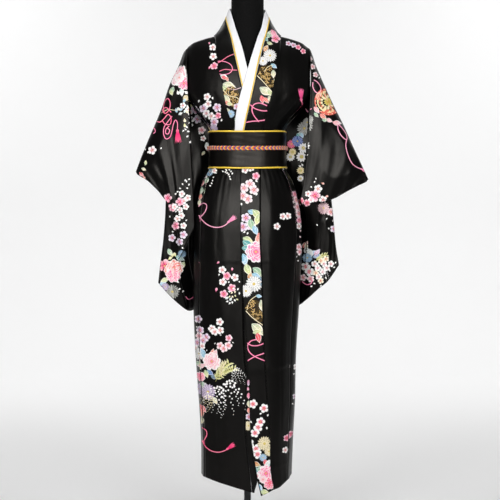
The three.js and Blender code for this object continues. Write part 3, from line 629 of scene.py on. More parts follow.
def patch(top, bottom, left, right, bulge, drape):
    """Sheet between four edge lines: top to bottom plus left to right, less the corners; then
    pushed in y by a rounded bulge and by drape folds that fade out at the edges."""
    u = np.linspace(0, 1, len(top))[None, :, None]
    v = np.linspace(0, 1, len(left))[:, None, None]
    g = mix(top[None], bottom[None], v) + mix(left[:, None], right[:, None], u)
    g = g - mix(mix(top[0], top[-1], u), mix(bottom[0], bottom[-1], u), v)
    g[0], g[-1], g[:, 0], g[:, -1] = top, bottom, left, right
    u, v = u[..., 0], v[..., 0]
    round_off = np.minimum(1, np.sin(np.pi * u) * np.sin(np.pi * v) * 1.4)
    edge = np.minimum(1, 6 * np.sin(np.pi * u) ** 0.7 * np.sin(np.pi * v) ** 0.7)
    g[..., 1] += bulge * round_off * (1 + 0.35 * np.cos(9 * u + 2 * v))
    g[..., 1] += edge * drape(u, v)
    return g


def sleeve_drape(strength, turn):
    """Folds that fan out from the shoulder: waves across the sleeve that grow down it, with a
    second finer set in between."""
    def drape(u, v):
        """Millimetres that the folds move the sheet in y."""
        main = np.cos(15 * u - turn * 3.0 * v + 0.6) * smooth(0.0, 0.45, v)
        fine = 0.45 * np.cos(31 * u + 5 * v + 4 * u * v) * smooth(0.1, 0.6, v)
        return strength * (main + fine)
    return drape


def sleeve(table, side):
    """The front flap above the cuff, the bag's front below it, and the back layer of both."""
    top = along(table["top"], COLUMNS)
    fold_edge = along(table["flap_low"][: FLAP_CORNER + 1], CORNER_COLUMNS)
    cuff_edge = along(table["flap_low"][FLAP_CORNER:], COLUMNS - CORNER_COLUMNS)
    tip = along([table["top"][-1], table["flap_low"][-1]], FLAP_ROWS)
    flap = patch(top, joined(fold_edge, cuff_edge), along(table["flap_inner"], FLAP_ROWS), tip,
                 FLAP_BULGE, sleeve_drape(FLAP_DRAPE, side))
    low = along(table["back_outer_low"], BAG_ROWS)
    outer = joined(along(table["back_outer_high"], CUFF_ROWS), low)
    bottom = along(table["bottom"], COLUMNS)
    back = patch(top, bottom, along(table["back_inner"], CUFF_ROWS + BAG_ROWS), outer,
                 BACK_BULGE, sleeve_drape(BACK_DRAPE, -side))
    pouch_top = joined(fold_edge, along(table["pouch_top"], COLUMNS - CORNER_COLUMNS))
    pouch = patch(pouch_top, bottom, along(table["pouch_inner"], BAG_ROWS), low,
                  BAG_BULGE, sleeve_drape(BAG_DRAPE, side))
    if side < 0:
        return [flap, pouch, back[:, ::-1]]
    return [flap[:, ::-1], pouch[:, ::-1], back]


sleeve_grids = {-1: sleeve(SLEEVE_RIGHT, -1), 1: sleeve(SLEEVE_LEFT, 1)}
print("sleeve cloth", [round(flat_area(grids), 3) for grids in sleeve_grids.values()], "m2")

# %% [markdown]
# ## Satin
# Satin floats its threads on the face, so it is smooth with a broad soft shine, and fine cross
# threads show only close up. Two sizes of noise make shallow crumples that break the shine, two
# crossed waves make the threads, and a third noise makes the shine uneven.

# %% Material helpers
def material(name, colour, roughness, **sockets):
    """A material with its nodes and links; sockets are named with _ for each space."""
    mat = bpy.data.materials.new(name)
    mat.use_nodes = True
    bsdf = mat.node_tree.nodes["Principled BSDF"]
    bsdf.inputs["Base Color"].default_value = (*colour, 1.0)
    bsdf.inputs["Roughness"].default_value = roughness
    for key, value in sockets.items():
        bsdf.inputs[key.replace("_", " ")].default_value = value
    return mat, mat.node_tree.nodes, mat.node_tree.links, bsdf


def noise(nodes, links, coords, scale, detail=4.0, stretch=(1, 1, 1)):
    """Noise on the given coordinates, stretched along the axes."""
    mapping = nodes.new("ShaderNodeMapping")
    mapping.inputs["Scale"].default_value = stretch
    links.new(coords, mapping.inputs["Vector"])
    node = nodes.new("ShaderNodeTexNoise")
    node.inputs["Scale"].default_value = scale
    node.inputs["Detail"].default_value = detail
    links.new(mapping.outputs["Vector"], node.inputs["Vector"])
    return node.outputs["Fac"]


def bump(nodes, links, height, strength, distance, normal=None):
    """A normal tilted by the slope of a height, on top of the given normal."""
    node = nodes.new("ShaderNodeBump")
    node.inputs["Strength"].default_value = strength
    node.inputs["Distance"].default_value = distance
    links.new(height, node.inputs["Height"])
    if normal is not None:
        links.new(normal, node.inputs["Normal"])
    return node.outputs["Normal"]


def ramp(nodes, links, value, stops):
    """Colours between stops, each a position from 0 to 1 and a colour."""
    node = nodes.new("ShaderNodeValToRGB")
    elements = node.color_ramp.elements
    while len(elements) < len(stops):
        elements.new(0.5)
    for element, (position, colour) in zip(elements, stops):
        element.position = position
        element.color = (*colour, 1.0)
    links.new(value, node.inputs["Fac"])
    return node.outputs["Color"]


THREAD_HEIGHT, THREAD_WANDER = 0.0004, 0.6


def weave(nodes, links, coords, threads, strength, normal=None):
    """Two sets of fine threads across each other, as a shallow bump."""
    waves = []
    for direction in ("X", "Z"):
        wave = nodes.new("ShaderNodeTexWave")
        wave.wave_type = "BANDS"
        wave.bands_direction = direction
        wave.inputs["Scale"].default_value = threads
        wave.inputs["Distortion"].default_value = THREAD_WANDER
        links.new(coords, wave.inputs["Vector"])
        waves.append(wave.outputs["Fac"])
    product = nodes.new("ShaderNodeMath")
    product.operation = "MULTIPLY"
    links.new(waves[0], product.inputs[0])
    links.new(waves[1], product.inputs[1])
    return bump(nodes, links, product.outputs[0], strength, THREAD_HEIGHT, normal)


print("thread height", THREAD_HEIGHT, "m")

# %% Satin materials
# noise: scale, detail, stretch along the axes
CRUMPLES = (9.0, 3.0, (1.4, 1.0, 0.55))
WRINKLES = (46.0, 5.0, (1.0, 1.0, 0.6))
SHINE = (14.0, 3.0, (1.2, 1.0, 0.5))
CRUMPLE_HEIGHT, WRINKLE_HEIGHT = 0.012, 0.0022  # metres
SATIN_THREADS, SATIN_THREAD_STRENGTH = 420.0, 0.10
SMOOTHER, ROUGHER = 0.06, 0.08


def satin(name, colour, roughness, crumple, colour_attribute=None, **sockets):
    """Satin with crumples of the given strength, coloured plainly or from an attribute."""
    mat, nodes, links, bsdf = material(name, colour, roughness, **sockets)
    coords = nodes.new("ShaderNodeTexCoord").outputs["Object"]
    big = noise(nodes, links, coords, *CRUMPLES)
    soft = bump(nodes, links, big, crumple, CRUMPLE_HEIGHT)
    small = noise(nodes, links, coords, *WRINKLES)
    normal = bump(nodes, links, small, crumple * 0.5, WRINKLE_HEIGHT, soft)
    normal = weave(nodes, links, coords, SATIN_THREADS, SATIN_THREAD_STRENGTH, normal)
    links.new(normal, bsdf.inputs["Normal"])
    shine = noise(nodes, links, coords, *SHINE)
    spread = nodes.new("ShaderNodeMapRange")
    spread.inputs["To Min"].default_value = roughness - SMOOTHER
    spread.inputs["To Max"].default_value = roughness + ROUGHER
    links.new(shine, spread.inputs["Value"])
    links.new(spread.outputs["Result"], bsdf.inputs["Roughness"])
    if colour_attribute:
        ink = nodes.new("ShaderNodeVertexColor")
        ink.layer_name = colour_attribute
        links.new(ink.outputs["Color"], bsdf.inputs["Base Color"])
    return mat


black_satin = satin("black_satin", (0.0016, 0.0015, 0.0015), 0.31, 0.32,
                    Specular_IOR_Level=0.16, Specular_Tint=(1.0, 0.96, 0.9, 1.0))
sash_satin = satin("sash_satin", (0.0026, 0.0021, 0.0019), 0.32, 0.25,
                   Specular_IOR_Level=0.18, Specular_Tint=(1.0, 0.93, 0.85, 1.0))
white_satin = satin("white_satin", (0.70, 0.70, 0.73), 0.5, 0.25, Sheen_Weight=0.15)
printed = satin("printed_satin", (0.5, 0.5, 0.5), 0.5, 0.5, "ink", Specular_IOR_Level=0.12)
gold_cloth = satin("gold_piping", (0.80, 0.54, 0.04), 0.34, 0.2, Sheen_Weight=0.1)
print("satins", len(bpy.data.materials))


# %% Jersey and metal
def jersey_material():
    """Matt knitted cover with a faint fuzz in its colour."""
    mat, nodes, links, bsdf = material("black_jersey", (0.003, 0.003, 0.003), 0.85,
                                        Specular_IOR_Level=0.1)
    coords = nodes.new("ShaderNodeTexCoord").outputs["Object"]
    normal = weave(nodes, links, coords, 260.0, 0.25)
    links.new(normal, bsdf.inputs["Normal"])
    fuzz = noise(nodes, links, coords, 300.0, 2.0)
    tint = ramp(nodes, links, fuzz, [(0.3, (0.002, 0.002, 0.002)), (0.8, (0.005, 0.005, 0.005))])
    links.new(tint, bsdf.inputs["Base Color"])
    return mat


def stand_metal():
    """Grey paint on metal, with a fine grain and slightly uneven colour."""
    mat, nodes, links, bsdf = material("stand_metal", (0.10, 0.105, 0.11), 0.38, Metallic=0.55)
    coords = nodes.new("ShaderNodeTexCoord").outputs["Object"]
    grain = noise(nodes, links, coords, 700.0, 3.0)
    links.new(bump(nodes, links, grain, 0.12, 0.0003), bsdf.inputs["Normal"])
    wear = noise(nodes, links, coords, 25.0, 6.0)
    paint = ramp(nodes, links, wear, [(0.35, (0.085, 0.09, 0.095)), (0.75, (0.125, 0.13, 0.135))])
    links.new(paint, bsdf.inputs["Base Color"])
    return mat


black_jersey, grey_metal = jersey_material(), stand_metal()


def dress(piece, mat, slot, *nodes):
    """Give a piece its material and hide the solids of the frame that it stands for; slot is not
    used.
    """
    piece.data.materials.append(mat)
    if nodes:
        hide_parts(*nodes)
    return piece


print("materials", len(bpy.data.materials))

# %% [markdown]
# ## The garment's panels
# The panels keep the names of their solids, with cloth_ in front, and their grids are kept too.

# %% Panels
sheets = {}


def cloth_sheet(name, grids, mat, slot):
    """A piece of cloth that stands for the solid of the same name."""
    piece = dress(cloth_piece("cloth_" + name, grids), mat, slot, name)
    sheets[piece.name] = (piece, grids)
    return piece


for name, grids in (
    ("front_right", [front_panel(-1, 34)]),
    ("front_left", [front_panel(1, 30)]),
    ("overlap_right", [overlap_strip(-1, 9)]),
    ("overlap_left", [overlap_strip(1, 15)]),
    ("back_right", [back_panel(-1, 46)]),
    ("back_left", [back_panel(1, 46)]),
    ("sleeve_right", sleeve_grids[-1]),
    ("sleeve_left", sleeve_grids[1]),
    ("neckband", [band_grid]),
):
    cloth_sheet(name, grids, black_satin, "satin")
cloth_sheet("white_collar", [white_grid], white_satin, "white_satin")
print("sheets", len(sheets))

# %% [markdown]
# ## Tubes and turned pieces
# Piping is a cord wrapped in a bias strip, so it is a tube that follows an edge. A braided cord is
# several tubes that cross over and under each other. The stand's pieces are turned: rings of
# points, one above the other.

# %% Tube and ring helpers
PIPING_SIDES = 12


def tube_grid(line, out, side, radius_out, radius_side, sides):
    """Rings round every point of a line: cosine times the outward axis plus sine times the
    sideways axis."""
    turn = np.linspace(0, 2 * np.pi, sides, endpoint=False)
    return (line[:, None] + radius_out * np.cos(turn)[None, :, None] * out[:, None]
            + radius_side * np.sin(turn)[None, :, None] * side[:, None])


def tube(name, lines, closed, sides):
    """One mesh from tubes. Each entry is (points, outward axes, sideways axes, radii)."""
    verts, faces, start = [], [], 0
    for line, out, side, (radius_out, radius_side) in lines:
        grid = tube_grid(line, out, side, radius_out, radius_side, sides)
        count = len(line)
        f = grid_faces(count, sides, wrap=True)
        if closed:
            this = np.arange(sides)
            following = (this + 1) % sides
            last = (count - 1) * sides
            closing = np.stack([last + this, last + following, following, this], axis=1)
            f = np.concatenate([f, closing])
        verts.append(grid.reshape(-1, 3))
        faces.extend((f + start).tolist())
        if not closed:
            faces.append((start + np.arange(sides))[::-1].tolist())
            faces.append((start + (count - 1) * sides + np.arange(sides)).tolist())
        start += count * sides
    piece = new_object(name, np.concatenate(verts) * MM, faces)
    outward_faces(piece)
    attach(piece, "root")
    return piece


def outward_faces(piece):
    """Turn all faces of a closed mesh over if it encloses a negative volume."""
    mesh = piece.data
    co = np.empty(len(mesh.vertices) * 3)
    mesh.vertices.foreach_get("co", co)
    co = co.reshape(-1, 3)
    mesh.calc_loop_triangles()
    tri = np.empty(len(mesh.loop_triangles) * 3, dtype=np.int32)
    mesh.loop_triangles.foreach_get("vertices", tri)
    a, b, c = co[tri.reshape(-1, 3)].transpose(1, 0, 2)
    if np.einsum("ij,ij->i", a, np.cross(b, c)).sum() < 0:
        mesh.flip_normals()


def rings_piece(name, rings):
    """A closed solid from a stack of rings of points."""
    count, size = len(rings), len(rings[0])
    faces = grid_faces(count, size, wrap=True).tolist()
    faces += [list(range(size))[::-1], [(count - 1) * size + i for i in range(size)]]
    piece = new_object(name, np.concatenate(rings) * MM, faces)
    outward_faces(piece)
    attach(piece, "root")
    return piece


print("sides of a piping tube", PIPING_SIDES)

# %% [markdown]
# ## Piping on the collar
# The gold piping is a flattened tube along the fold of the white collar, in the same satin.

# %% Collar piping
across = collars[:, JOIN + 2] - collars[:, JOIN + 1]
across /= np.linalg.norm(across, axis=1, keepdims=True)
COLLAR_PIPING = (1.15, 1.9)  # half its thickness and half its width, in millimetres
piping_tube = (piping_line, piping_out, across, COLLAR_PIPING)
collar_piping = tube("piping_collar", [piping_tube], False, PIPING_SIDES)
dress(collar_piping, gold_cloth, "gold_piping", "collar_piping")
print("collar piping points", len(piping_line))

# %% [markdown]
# ## The sash
# The sash is wound tight round the waist. Its cloth keeps fine level wrinkles where it is pulled
# round the sides, and a gold piping edges it above and below.

# %% Sash surface
# height, half-width right, half-width left, depth front, depth back
SASH = [[1155, 126.5, 127, 110, 97.4], [1224, 124.5, 124, 109.5, 96], [1285, 127, 125, 114, 99]]
SASH_LOW, SASH_HIGH, SASH_PIPING = 1160.0, 1279.0, 5.3
SASH_ROUND, SASH_DROP = 2.15, 6
WRINKLE_DEPTH, WRINKLE_STEP, WRINKLE_DRIFT = 0.75, 4.1, 13
DENT_DEPTH, DENT_HALF_HEIGHT = 0.5, 9
SASH_ROWS, SASH_POINTS = 57, 321


def sash_point(angle, z, off):
    """Rounded ring at a height, moved out by off; the front drops a little at the middle."""
    s, c = np.sin(angle), np.cos(angle)
    w = np.where(s < 0, read(SASH, z, 1), read(SASH, z, 2)) + off
    d = np.where(c > 0, read(SASH, z, 3), read(SASH, z, 4)) + off
    x = np.sign(s) * w * np.abs(s) ** (2 / SASH_ROUND)
    y = -np.sign(c) * d * np.abs(c) ** (2 / SASH_ROUND)
    return np.stack([x, y, z - SASH_DROP * np.where(c > 0, c * c, 0)], axis=-1)


def sash_wrinkle(angle, z):
    """Shallow level wrinkles that rise and fall round the waist, deepest at the sides, and a dent
    under the cord."""
    side = 0.35 + 0.65 * np.sin(angle) ** 2
    level = z - SASH_LOW + 9 * np.sin(angle) * np.cos(2 * angle) + 2 * np.sin(5 * angle)
    lines = 0.5 + 0.5 * np.cos(level / WRINKLE_STEP) * np.cos(level / WRINKLE_DRIFT + 3 * angle)
    dent = DENT_DEPTH * np.exp(-((z - CORD_Z) / DENT_HALF_HEIGHT) ** 2)
    return -WRINKLE_DEPTH * side * lines - dent


ANGLES = np.linspace(0, 2 * np.pi, SASH_POINTS)
sash_levels = np.linspace(SASH_LOW + SASH_PIPING, SASH_HIGH - SASH_PIPING, SASH_ROWS)[:, None]
sash_angles = ANGLES[None, :] * np.ones_like(sash_levels)
sash_grid = sash_point(sash_angles, sash_levels, sash_wrinkle(sash_angles, sash_levels))
sash_grid[:, -1] = sash_grid[:, 0]
cloth_sheet("sash", [sash_grid], sash_satin, "sash_satin")
print("sash grid", sash_grid.shape)


# %% Sash piping
SASH_PIPING_TUBE = (1.3, 2.4)  # half its thickness and half its height, in millimetres
PIPING_SUNK = 0.9


def level_ring(z, off):
    """Closed line round the sash with its outward and upward axes."""
    angle = ANGLES[:-1]
    line = sash_point(angle, z + 0 * angle, off)
    ahead = np.roll(line, -1, axis=0) - np.roll(line, 1, axis=0)
    up = np.zeros_like(line)
    up[:, 2] = 1
    out = np.cross(ahead, up)
    out /= np.linalg.norm(out, axis=1, keepdims=True)
    return line, out, up


for name, z, node in (("piping_sash_top", SASH_HIGH - 2.5, "sash_piping_top"),
                      ("piping_sash_bottom", SASH_LOW + 2.5, "sash_piping_bottom")):
    ring_line = (*level_ring(z, -PIPING_SUNK), SASH_PIPING_TUBE)
    dress(tube(name, [ring_line], True, PIPING_SIDES), gold_cloth, "gold_piping", node)
print("sash piping points", len(ANGLES) - 1)

# %% [markdown]
# ## The braided cord
# The flat cord over the sash is plaited from six strands in three colours. Each strand swings
# from side to side, and goes over at one crossing and under at the next, so one wave goes across
# the cord and another of twice its rate goes in and out.

# %% Sash cord
STRANDS, BRAID_TURNS, BRAID_POINTS = 6, 28, 1120
BRAID_SWING, BRAID_OUT, BRAID_CROSSING = 5.0, 3.4, 1.15
STRAND, STRAND_SIDES = (1.25, 1.75), 8
CORD_COLOURS = {"red": (0.62, 0.07, 0.025), "yellow": (0.72, 0.42, 0.035),
                "navy": (0.035, 0.04, 0.26)}


def strand(phase):
    """The strand's height is the swing times the sine of its turn, and its distance out is the
    crossing times the sine of twice its turn."""
    angle = np.linspace(0, 2 * np.pi, BRAID_POINTS + 1)[:-1]
    turn = BRAID_TURNS * angle + phase
    high = BRAID_SWING * np.sin(turn)
    deep = BRAID_OUT + BRAID_CROSSING * np.sin(2 * turn)
    line = sash_point(angle, CORD_Z + high, deep)
    ahead = np.roll(line, -1, axis=0) - np.roll(line, 1, axis=0)
    ahead /= np.linalg.norm(ahead, axis=1, keepdims=True)
    away = line * np.array([1.0, 1.0, 0.0])
    side = np.cross(away, ahead)
    side /= np.linalg.norm(side, axis=1, keepdims=True)
    out = np.cross(ahead, side)
    return line, out, side, STRAND


def cord_material(name, colour):
    """Twisted thread: slanting bands as a shallow bump."""
    mat, nodes, links, bsdf = material("cord_" + name, colour, 0.55, Sheen_Weight=0.25)
    coords = nodes.new("ShaderNodeTexCoord").outputs["Object"]
    wave = nodes.new("ShaderNodeTexWave")
    wave.wave_type, wave.bands_direction = "BANDS", "DIAGONAL"
    wave.inputs["Scale"].default_value = 190.0
    wave.inputs["Distortion"].default_value = 0.4
    links.new(coords, wave.inputs["Vector"])
    links.new(bump(nodes, links, wave.outputs["Fac"], 0.35, 0.0004), bsdf.inputs["Normal"])
    return mat


for number, (colour, rgb) in enumerate(CORD_COLOURS.items()):
    phases = [np.pi * 2 * (number + 3 * half) / STRANDS for half in (0, 1)]
    piece = tube("cord_" + colour, [strand(p) for p in phases], True, STRAND_SIDES)
    dress(piece, cord_material(colour, rgb), "cord")
    if number == 0:
        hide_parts("sash_cord")
print("strands", STRANDS)

# %% [markdown]
# ## The dress form and its stand
# The form is a padded torso covered with black jersey, without arms or legs. It stands on a
# grey metal pole with a round foot, and a turned cap closes the neck.

# %% Dress form tables, in millimetres: height, half-width, depth front, depth back
FORM = [
    [860, 140, 98, 100], [900, 148, 106, 110], [980, 150, 106, 112], [1060, 140, 98, 102],
    [1130, 118, 86, 86], [1190, 106, 80, 78], [1235, 104, 80, 76], [1290, 112, 90, 82],
    [1340, 128, 100, 92], [1390, 150, 102, 98], [1440, 168, 92, 94], [1490, 176, 78, 80],
    [1525, 176, 62, 64], [1548, 174, 50, 52], [1560.4, 168, 40, 40], [1570.4, 138, 34, 34],
]
# the neck's depth is the same in front and behind
NECK = [[1500, 66, 60], [1540, 62, 58], [1575, 56, 54], [1610, 53, 52], [1650, 52, 52],
        [1735, 52, 52]]
FORM_BOTTOM, SHOULDER_EDGE, FORM_SHOULDER_TOP, NECK_BOTTOM, FORM_TOP = 860, 1548, 1570.4, 1500, 1735
TORSO_ROUND, CIRCLE = 2.1, 2.0
RING_POINTS, FOOT_POINTS, POLE_POINTS = 96, 128, 48


def level_section(z, half, front, back, n, size=RING_POINTS):
    """Rounded ring of points at a height: half-widths times powers of sine and cosine."""
    a = np.linspace(0, 2 * np.pi, size, endpoint=False)
    s, c = np.sin(a), np.cos(a)
    x = np.sign(s) * half * np.abs(s) ** (2 / n)
    y = -np.sign(c) * np.where(c > 0, front, back) * np.abs(c) ** (2 / n)
    return np.stack([x, y, z + 0 * a], axis=-1)


def smooth_levels(table, levels, n):
    """Rings at the given heights, with sizes read from a table."""
    columns = range(1, len(table[0]))
    sizes = [read(table, levels, c) for c in columns]
    if len(sizes) == 2:
        sizes.append(sizes[1])
    return [level_section(z, *row, n) for z, row in zip(levels, np.stack(sizes, axis=1))]


side_levels = np.linspace(FORM_BOTTOM, SHOULDER_EDGE, 70)
shoulder_levels = np.linspace(SHOULDER_EDGE + 3, FORM_SHOULDER_TOP, 12)
torso_levels = np.concatenate([side_levels, shoulder_levels])
neck_levels = np.linspace(NECK_BOTTOM, FORM_TOP, 40)
torso = rings_piece("form_body", smooth_levels(FORM, torso_levels, TORSO_ROUND))
neck = rings_piece("form_neck", smooth_levels(NECK, neck_levels, CIRCLE))
dress(torso, black_jersey, "jersey", "form_torso")
dress(neck, black_jersey, "jersey")
print("form rings", len(torso_levels), len(neck_levels))

# %% Stand
NECK_RADIUS, CAP_DOME_RADIUS, CAP_TOP = 52, 30, 1749
POLE_RADIUS, FOOT_RADIUS, FOOT_TOP = 11, 190, 14
GAP = 0.3  # between the stand's pieces
AXIS_RADIUS = 0.5  # the smallest ring, which closes a top


def turned(name, profile, node, sides=RING_POINTS):
    """A turned solid from a list of radius and height."""
    rings = [level_section(z, r, r, r, CIRCLE, sides) for r, z in profile]
    return dress(rings_piece(name, rings), grey_metal, "grey_metal", node)


def rounded_edge(radius, z, size, steps=6):
    """Radius and height along a rounded upper edge."""
    a = np.linspace(0, np.pi / 2, steps)
    return [(radius - size + size * np.cos(t), z - size + size * np.sin(t)) for t in a]


cap = [(NECK_RADIUS, FORM_TOP + GAP), *rounded_edge(NECK_RADIUS, CAP_TOP - 4, 6),
       *rounded_edge(CAP_DOME_RADIUS, CAP_TOP, 3), (AXIS_RADIUS, CAP_TOP)]
pole = [(POLE_RADIUS, FOOT_TOP + GAP), (POLE_RADIUS, FORM_BOTTOM - GAP)]
foot = [(FOOT_RADIUS - 6, 0), (FOOT_RADIUS, 3), *rounded_edge(FOOT_RADIUS, FOOT_TOP - 2, 5),
        (60, FOOT_TOP - 1), (20, FOOT_TOP), (AXIS_RADIUS, FOOT_TOP)]
turned("stand_cap", cap, "form_neck_cap")
turned("stand_pole", pole, "form_pole", POLE_POINTS)
turned("stand_foot", foot, "form_base", FOOT_POINTS)
print("stand from 0 to", CAP_TOP, "mm")

# %% [markdown]
# ## The print
# The satin is printed with flowers, leaves, knotted cords and tassels. Each motif is drawn flat,
# in petals, leaves and ribbons of a few points, coloured from base to tip, as a dyer brushes
# colour inside a line. A Shrinkwrap modifier then projects the drawing straight onto the cloth,
# so it follows every fold, and it is lifted just off the surface.

# %% Inks
INKS = {
    "white": (0.82, 0.81, 0.79), "cream": (0.80, 0.68, 0.38), "lemon": (0.66, 0.64, 0.20),
    "gold": (0.52, 0.30, 0.03), "salmon": (0.72, 0.22, 0.13), "red": (0.68, 0.03, 0.05),
    "crimson": (0.84, 0.008, 0.15), "rose": (0.82, 0.06, 0.25), "pink": (0.82, 0.22, 0.40),
    "blush": (0.78, 0.50, 0.54), "lilac": (0.50, 0.38, 0.58), "sky": (0.28, 0.50, 0.72),
    "blue": (0.04, 0.12, 0.46), "navy": (0.015, 0.03, 0.16), "teal": (0.04, 0.28, 0.27),
    "sage": (0.34, 0.46, 0.22), "grey": (0.34, 0.34, 0.31), "black": (0.006, 0.005, 0.006),
}
INKS = {name: np.array(rgb) for name, rgb in INKS.items()}
WHITE, BLACK, CRIMSON = INKS["white"], INKS["black"], INKS["crimson"]
INK_LIFT, LAYER_LIFT = 0.22, 0.006  # millimetres off the cloth, and from layer to layer


class Ink:
    """Flat shapes for one piece, as grids of (x, z) points in millimetres with a colour and a
    layer. A later layer lies a little further out."""

    def __init__(self):
        """Start with no shapes."""
        self.points, self.colours, self.faces, self.lifts = [], [], [], []
        self.count, self.layer = 0, 0

    def add(self, grids, colours):
        """Add a batch of grids, shaped (shape, row, column, 2), as one more layer."""
        grids = np.asarray(grids, float)
        if grids.ndim == 3:
            grids = grids[None]
        number, rows, columns = grids.shape[:3]
        colours = np.broadcast_to(colours, (number, rows, columns, 3))
        self.points.append(grids.reshape(-1, 2))
        self.colours.append(colours.reshape(-1, 3))
        starts = self.count + rows * columns * np.arange(number)
        faces = grid_faces(rows, columns)[None] + starts[:, None, None]
        self.faces.append(faces.reshape(-1, 4))
        self.lifts.append(np.full(number * rows * columns, INK_LIFT + self.layer * LAYER_LIFT))
        self.count += number * rows * columns
        self.layer += 1


print("inks", len(INKS))

# %% Petals, discs and ribbons
RIBBON_STEPS, RIBBON_STEP = 8, 3  # the fewest steps along a ribbon, and their length


def turned_points(ahead, side, x, z, turn):
    """Points from lengths ahead and sideways, turned to the given angles in radians."""
    turn = np.asarray(turn, float).reshape(-1, 1, 1)
    c, s = np.cos(turn), np.sin(turn)
    return np.stack([x + ahead * c - side * s, z + ahead * s + side * c], axis=-1)


def petals(ink, x, z, turns, length, width, base, tip, belly=1.5, notch=0.0, start=0.0, curl=0.0,
           rows=6, columns=5):
    """A petal for every turn. The half-width follows the sine of pi times the share of the length
    to the power belly; the tip is notched, and curl bends it sideways."""
    u = np.linspace(0, 1, rows)[:, None]
    v = np.linspace(-1, 1, columns)[None, :]
    half = 0.5 * width * np.sin(np.pi * np.clip(u, 0.03, 0.955) ** belly)
    ahead = start + length * (u - notch * (1 - np.abs(v)) * u ** 4 - 0.06 * v * v * u ** 4)
    side = half * v + curl * length * u * u
    grids = turned_points(ahead, side, x, z, turns)
    ink.add(grids, mix(base, tip, u[..., None] ** 1.2 + 0 * v[..., None]))


def disc(ink, x, z, radius, middle, edge, sides=14):
    """A round spot in two rings, coloured from its middle to its edge."""
    turn = np.linspace(0, 2 * np.pi, sides + 1)[None, :]
    r = radius * np.array([0.02, 0.6, 1.0])[:, None]
    grid = np.stack([x + r * np.cos(turn), z + r * np.sin(turn)], axis=-1)
    ink.add(grid, mix(middle, edge, (r / radius)[..., None] * np.ones((1, sides + 1, 1))))


def ribbon(ink, line, width, colour, edge):
    """A strip along a smooth curve, with one colour in the middle and one at the edges."""
    flat = np.asarray(line, float)
    points = np.stack([flat[:, 0], 0 * flat[:, 0], flat[:, 1]], axis=-1)
    length = np.linalg.norm(np.diff(flat, axis=0), axis=1).sum()
    curve = along(points, max(RIBBON_STEPS, int(length / RIBBON_STEP)))[:, [0, 2]]
    ahead = np.gradient(curve, axis=0)
    ahead /= np.linalg.norm(ahead, axis=1, keepdims=True)
    side = np.stack([-ahead[:, 1], ahead[:, 0]], axis=1)
    v = np.array([-1.0, -0.4, 0.4, 1.0])[None, :, None]
    grid = curve[:, None] + 0.5 * width * v * side[:, None]
    ink.add(grid, np.where(np.abs(v) < 0.5, colour, edge) * np.ones((len(curve), 1, 1)))


def ring_turns(count, turn=0.0):
    """Turns evenly spaced round a ring."""
    return turn + 2 * np.pi * np.arange(count) / count


print("five petals at", np.degrees(ring_turns(5)).round())

# %% Flowers
def blossom(ink, x, z, r, colour, turn, rng, depth=0.42, reach=0.82):
    """Five notched petals with a pale rim round a deeper heart, dark stamens and a yellow eye."""
    turns = ring_turns(5, turn) + rng.uniform(-0.07, 0.07, 5)
    petals(ink, x, z, turns, r * 1.08, r * 0.82, mix(colour, WHITE, 0.2), mix(colour, WHITE, 0.8),
           1.55, 0.16)
    petals(ink, x, z, turns, r * reach, r * 0.54, mix(colour, CRIMSON, depth),
           mix(colour, WHITE, 0.45), 1.55, 0.16)
    petals(ink, x, z, turns + 0.3, r * 0.48, r * 0.09, CRIMSON, INKS["red"], 0.7,
           rows=3, columns=3)
    disc(ink, x, z, r * 0.13, INKS["lemon"], INKS["gold"], 8)


def heart(ink, x, z, r, colour, turn, rng):
    """A blossom with a small, deep crimson heart."""
    blossom(ink, x, z, r, colour, turn, rng, 1.0, 0.68)


def peony(ink, x, z, r, colour, turn, rng):
    """Rings of broad petals, each with a pale rim round a deeper middle."""
    for count, share, curl in ((9, 1.0, 0.1), (8, 0.78, -0.1), (6, 0.55, 0.12), (4, 0.33, -0.1)):
        turns = ring_turns(count, turn + share * 5) + rng.uniform(-0.12, 0.12, count)
        width = 5.2 * r * share / count
        petals(ink, x, z, turns, r * share * 1.05, width * 1.14, mix(colour, WHITE, 0.5),
               mix(colour, WHITE, 0.92), 1.9, 0.1, curl=curl)
        petals(ink, x, z, turns, r * share * 0.94, width * 0.86, mix(colour, CRIMSON, 0.85),
               mix(colour, WHITE, 0.1), 1.9, 0.1, curl=curl)
    disc(ink, x, z, r * 0.12, INKS["lemon"], INKS["salmon"], 9)


def mum(ink, x, z, r, colour, turn, rng):
    """A chrysanthemum: rings of narrow petals over darker ones that leave a line between."""
    dark = mix(colour, BLACK, 0.6)
    for count, share in ((18, 1.0), (14, 0.72), (10, 0.46)):
        turns = ring_turns(count, turn + share) + rng.uniform(-0.05, 0.05, count)
        width = 6.6 * r * share / count
        petals(ink, x, z, turns, r * share, width * 1.15, dark, mix(colour, BLACK, 0.5), 1.6)
        petals(ink, x, z, turns, r * share * 0.98, width * 0.64, mix(colour, BLACK, 0.2),
               mix(colour, WHITE, 0.35), 1.6, curl=0.03)
    disc(ink, x, z, r * 0.17, INKS["lemon"], INKS["gold"], 10)


def daisy(ink, x, z, r, colour, turn, rng):
    """Eleven plain petals round a yellow disc with a green middle."""
    petals(ink, x, z, ring_turns(11, turn), r, r * 0.46, mix(colour, BLACK, 0.25), colour, 1.3)
    disc(ink, x, z, r * 0.34, INKS["lemon"], INKS["gold"], 12)
    disc(ink, x, z, r * 0.14, INKS["sage"], INKS["sage"], 8)


def petal(ink, x, z, r, colour, turn, rng):
    """One loose petal."""
    petals(ink, x, z, [turn], r, r * 0.6, mix(colour, WHITE, 0.1), mix(colour, WHITE, 0.6), 1.4,
           0.16)


print("flowers drawn flat, from petals and discs")

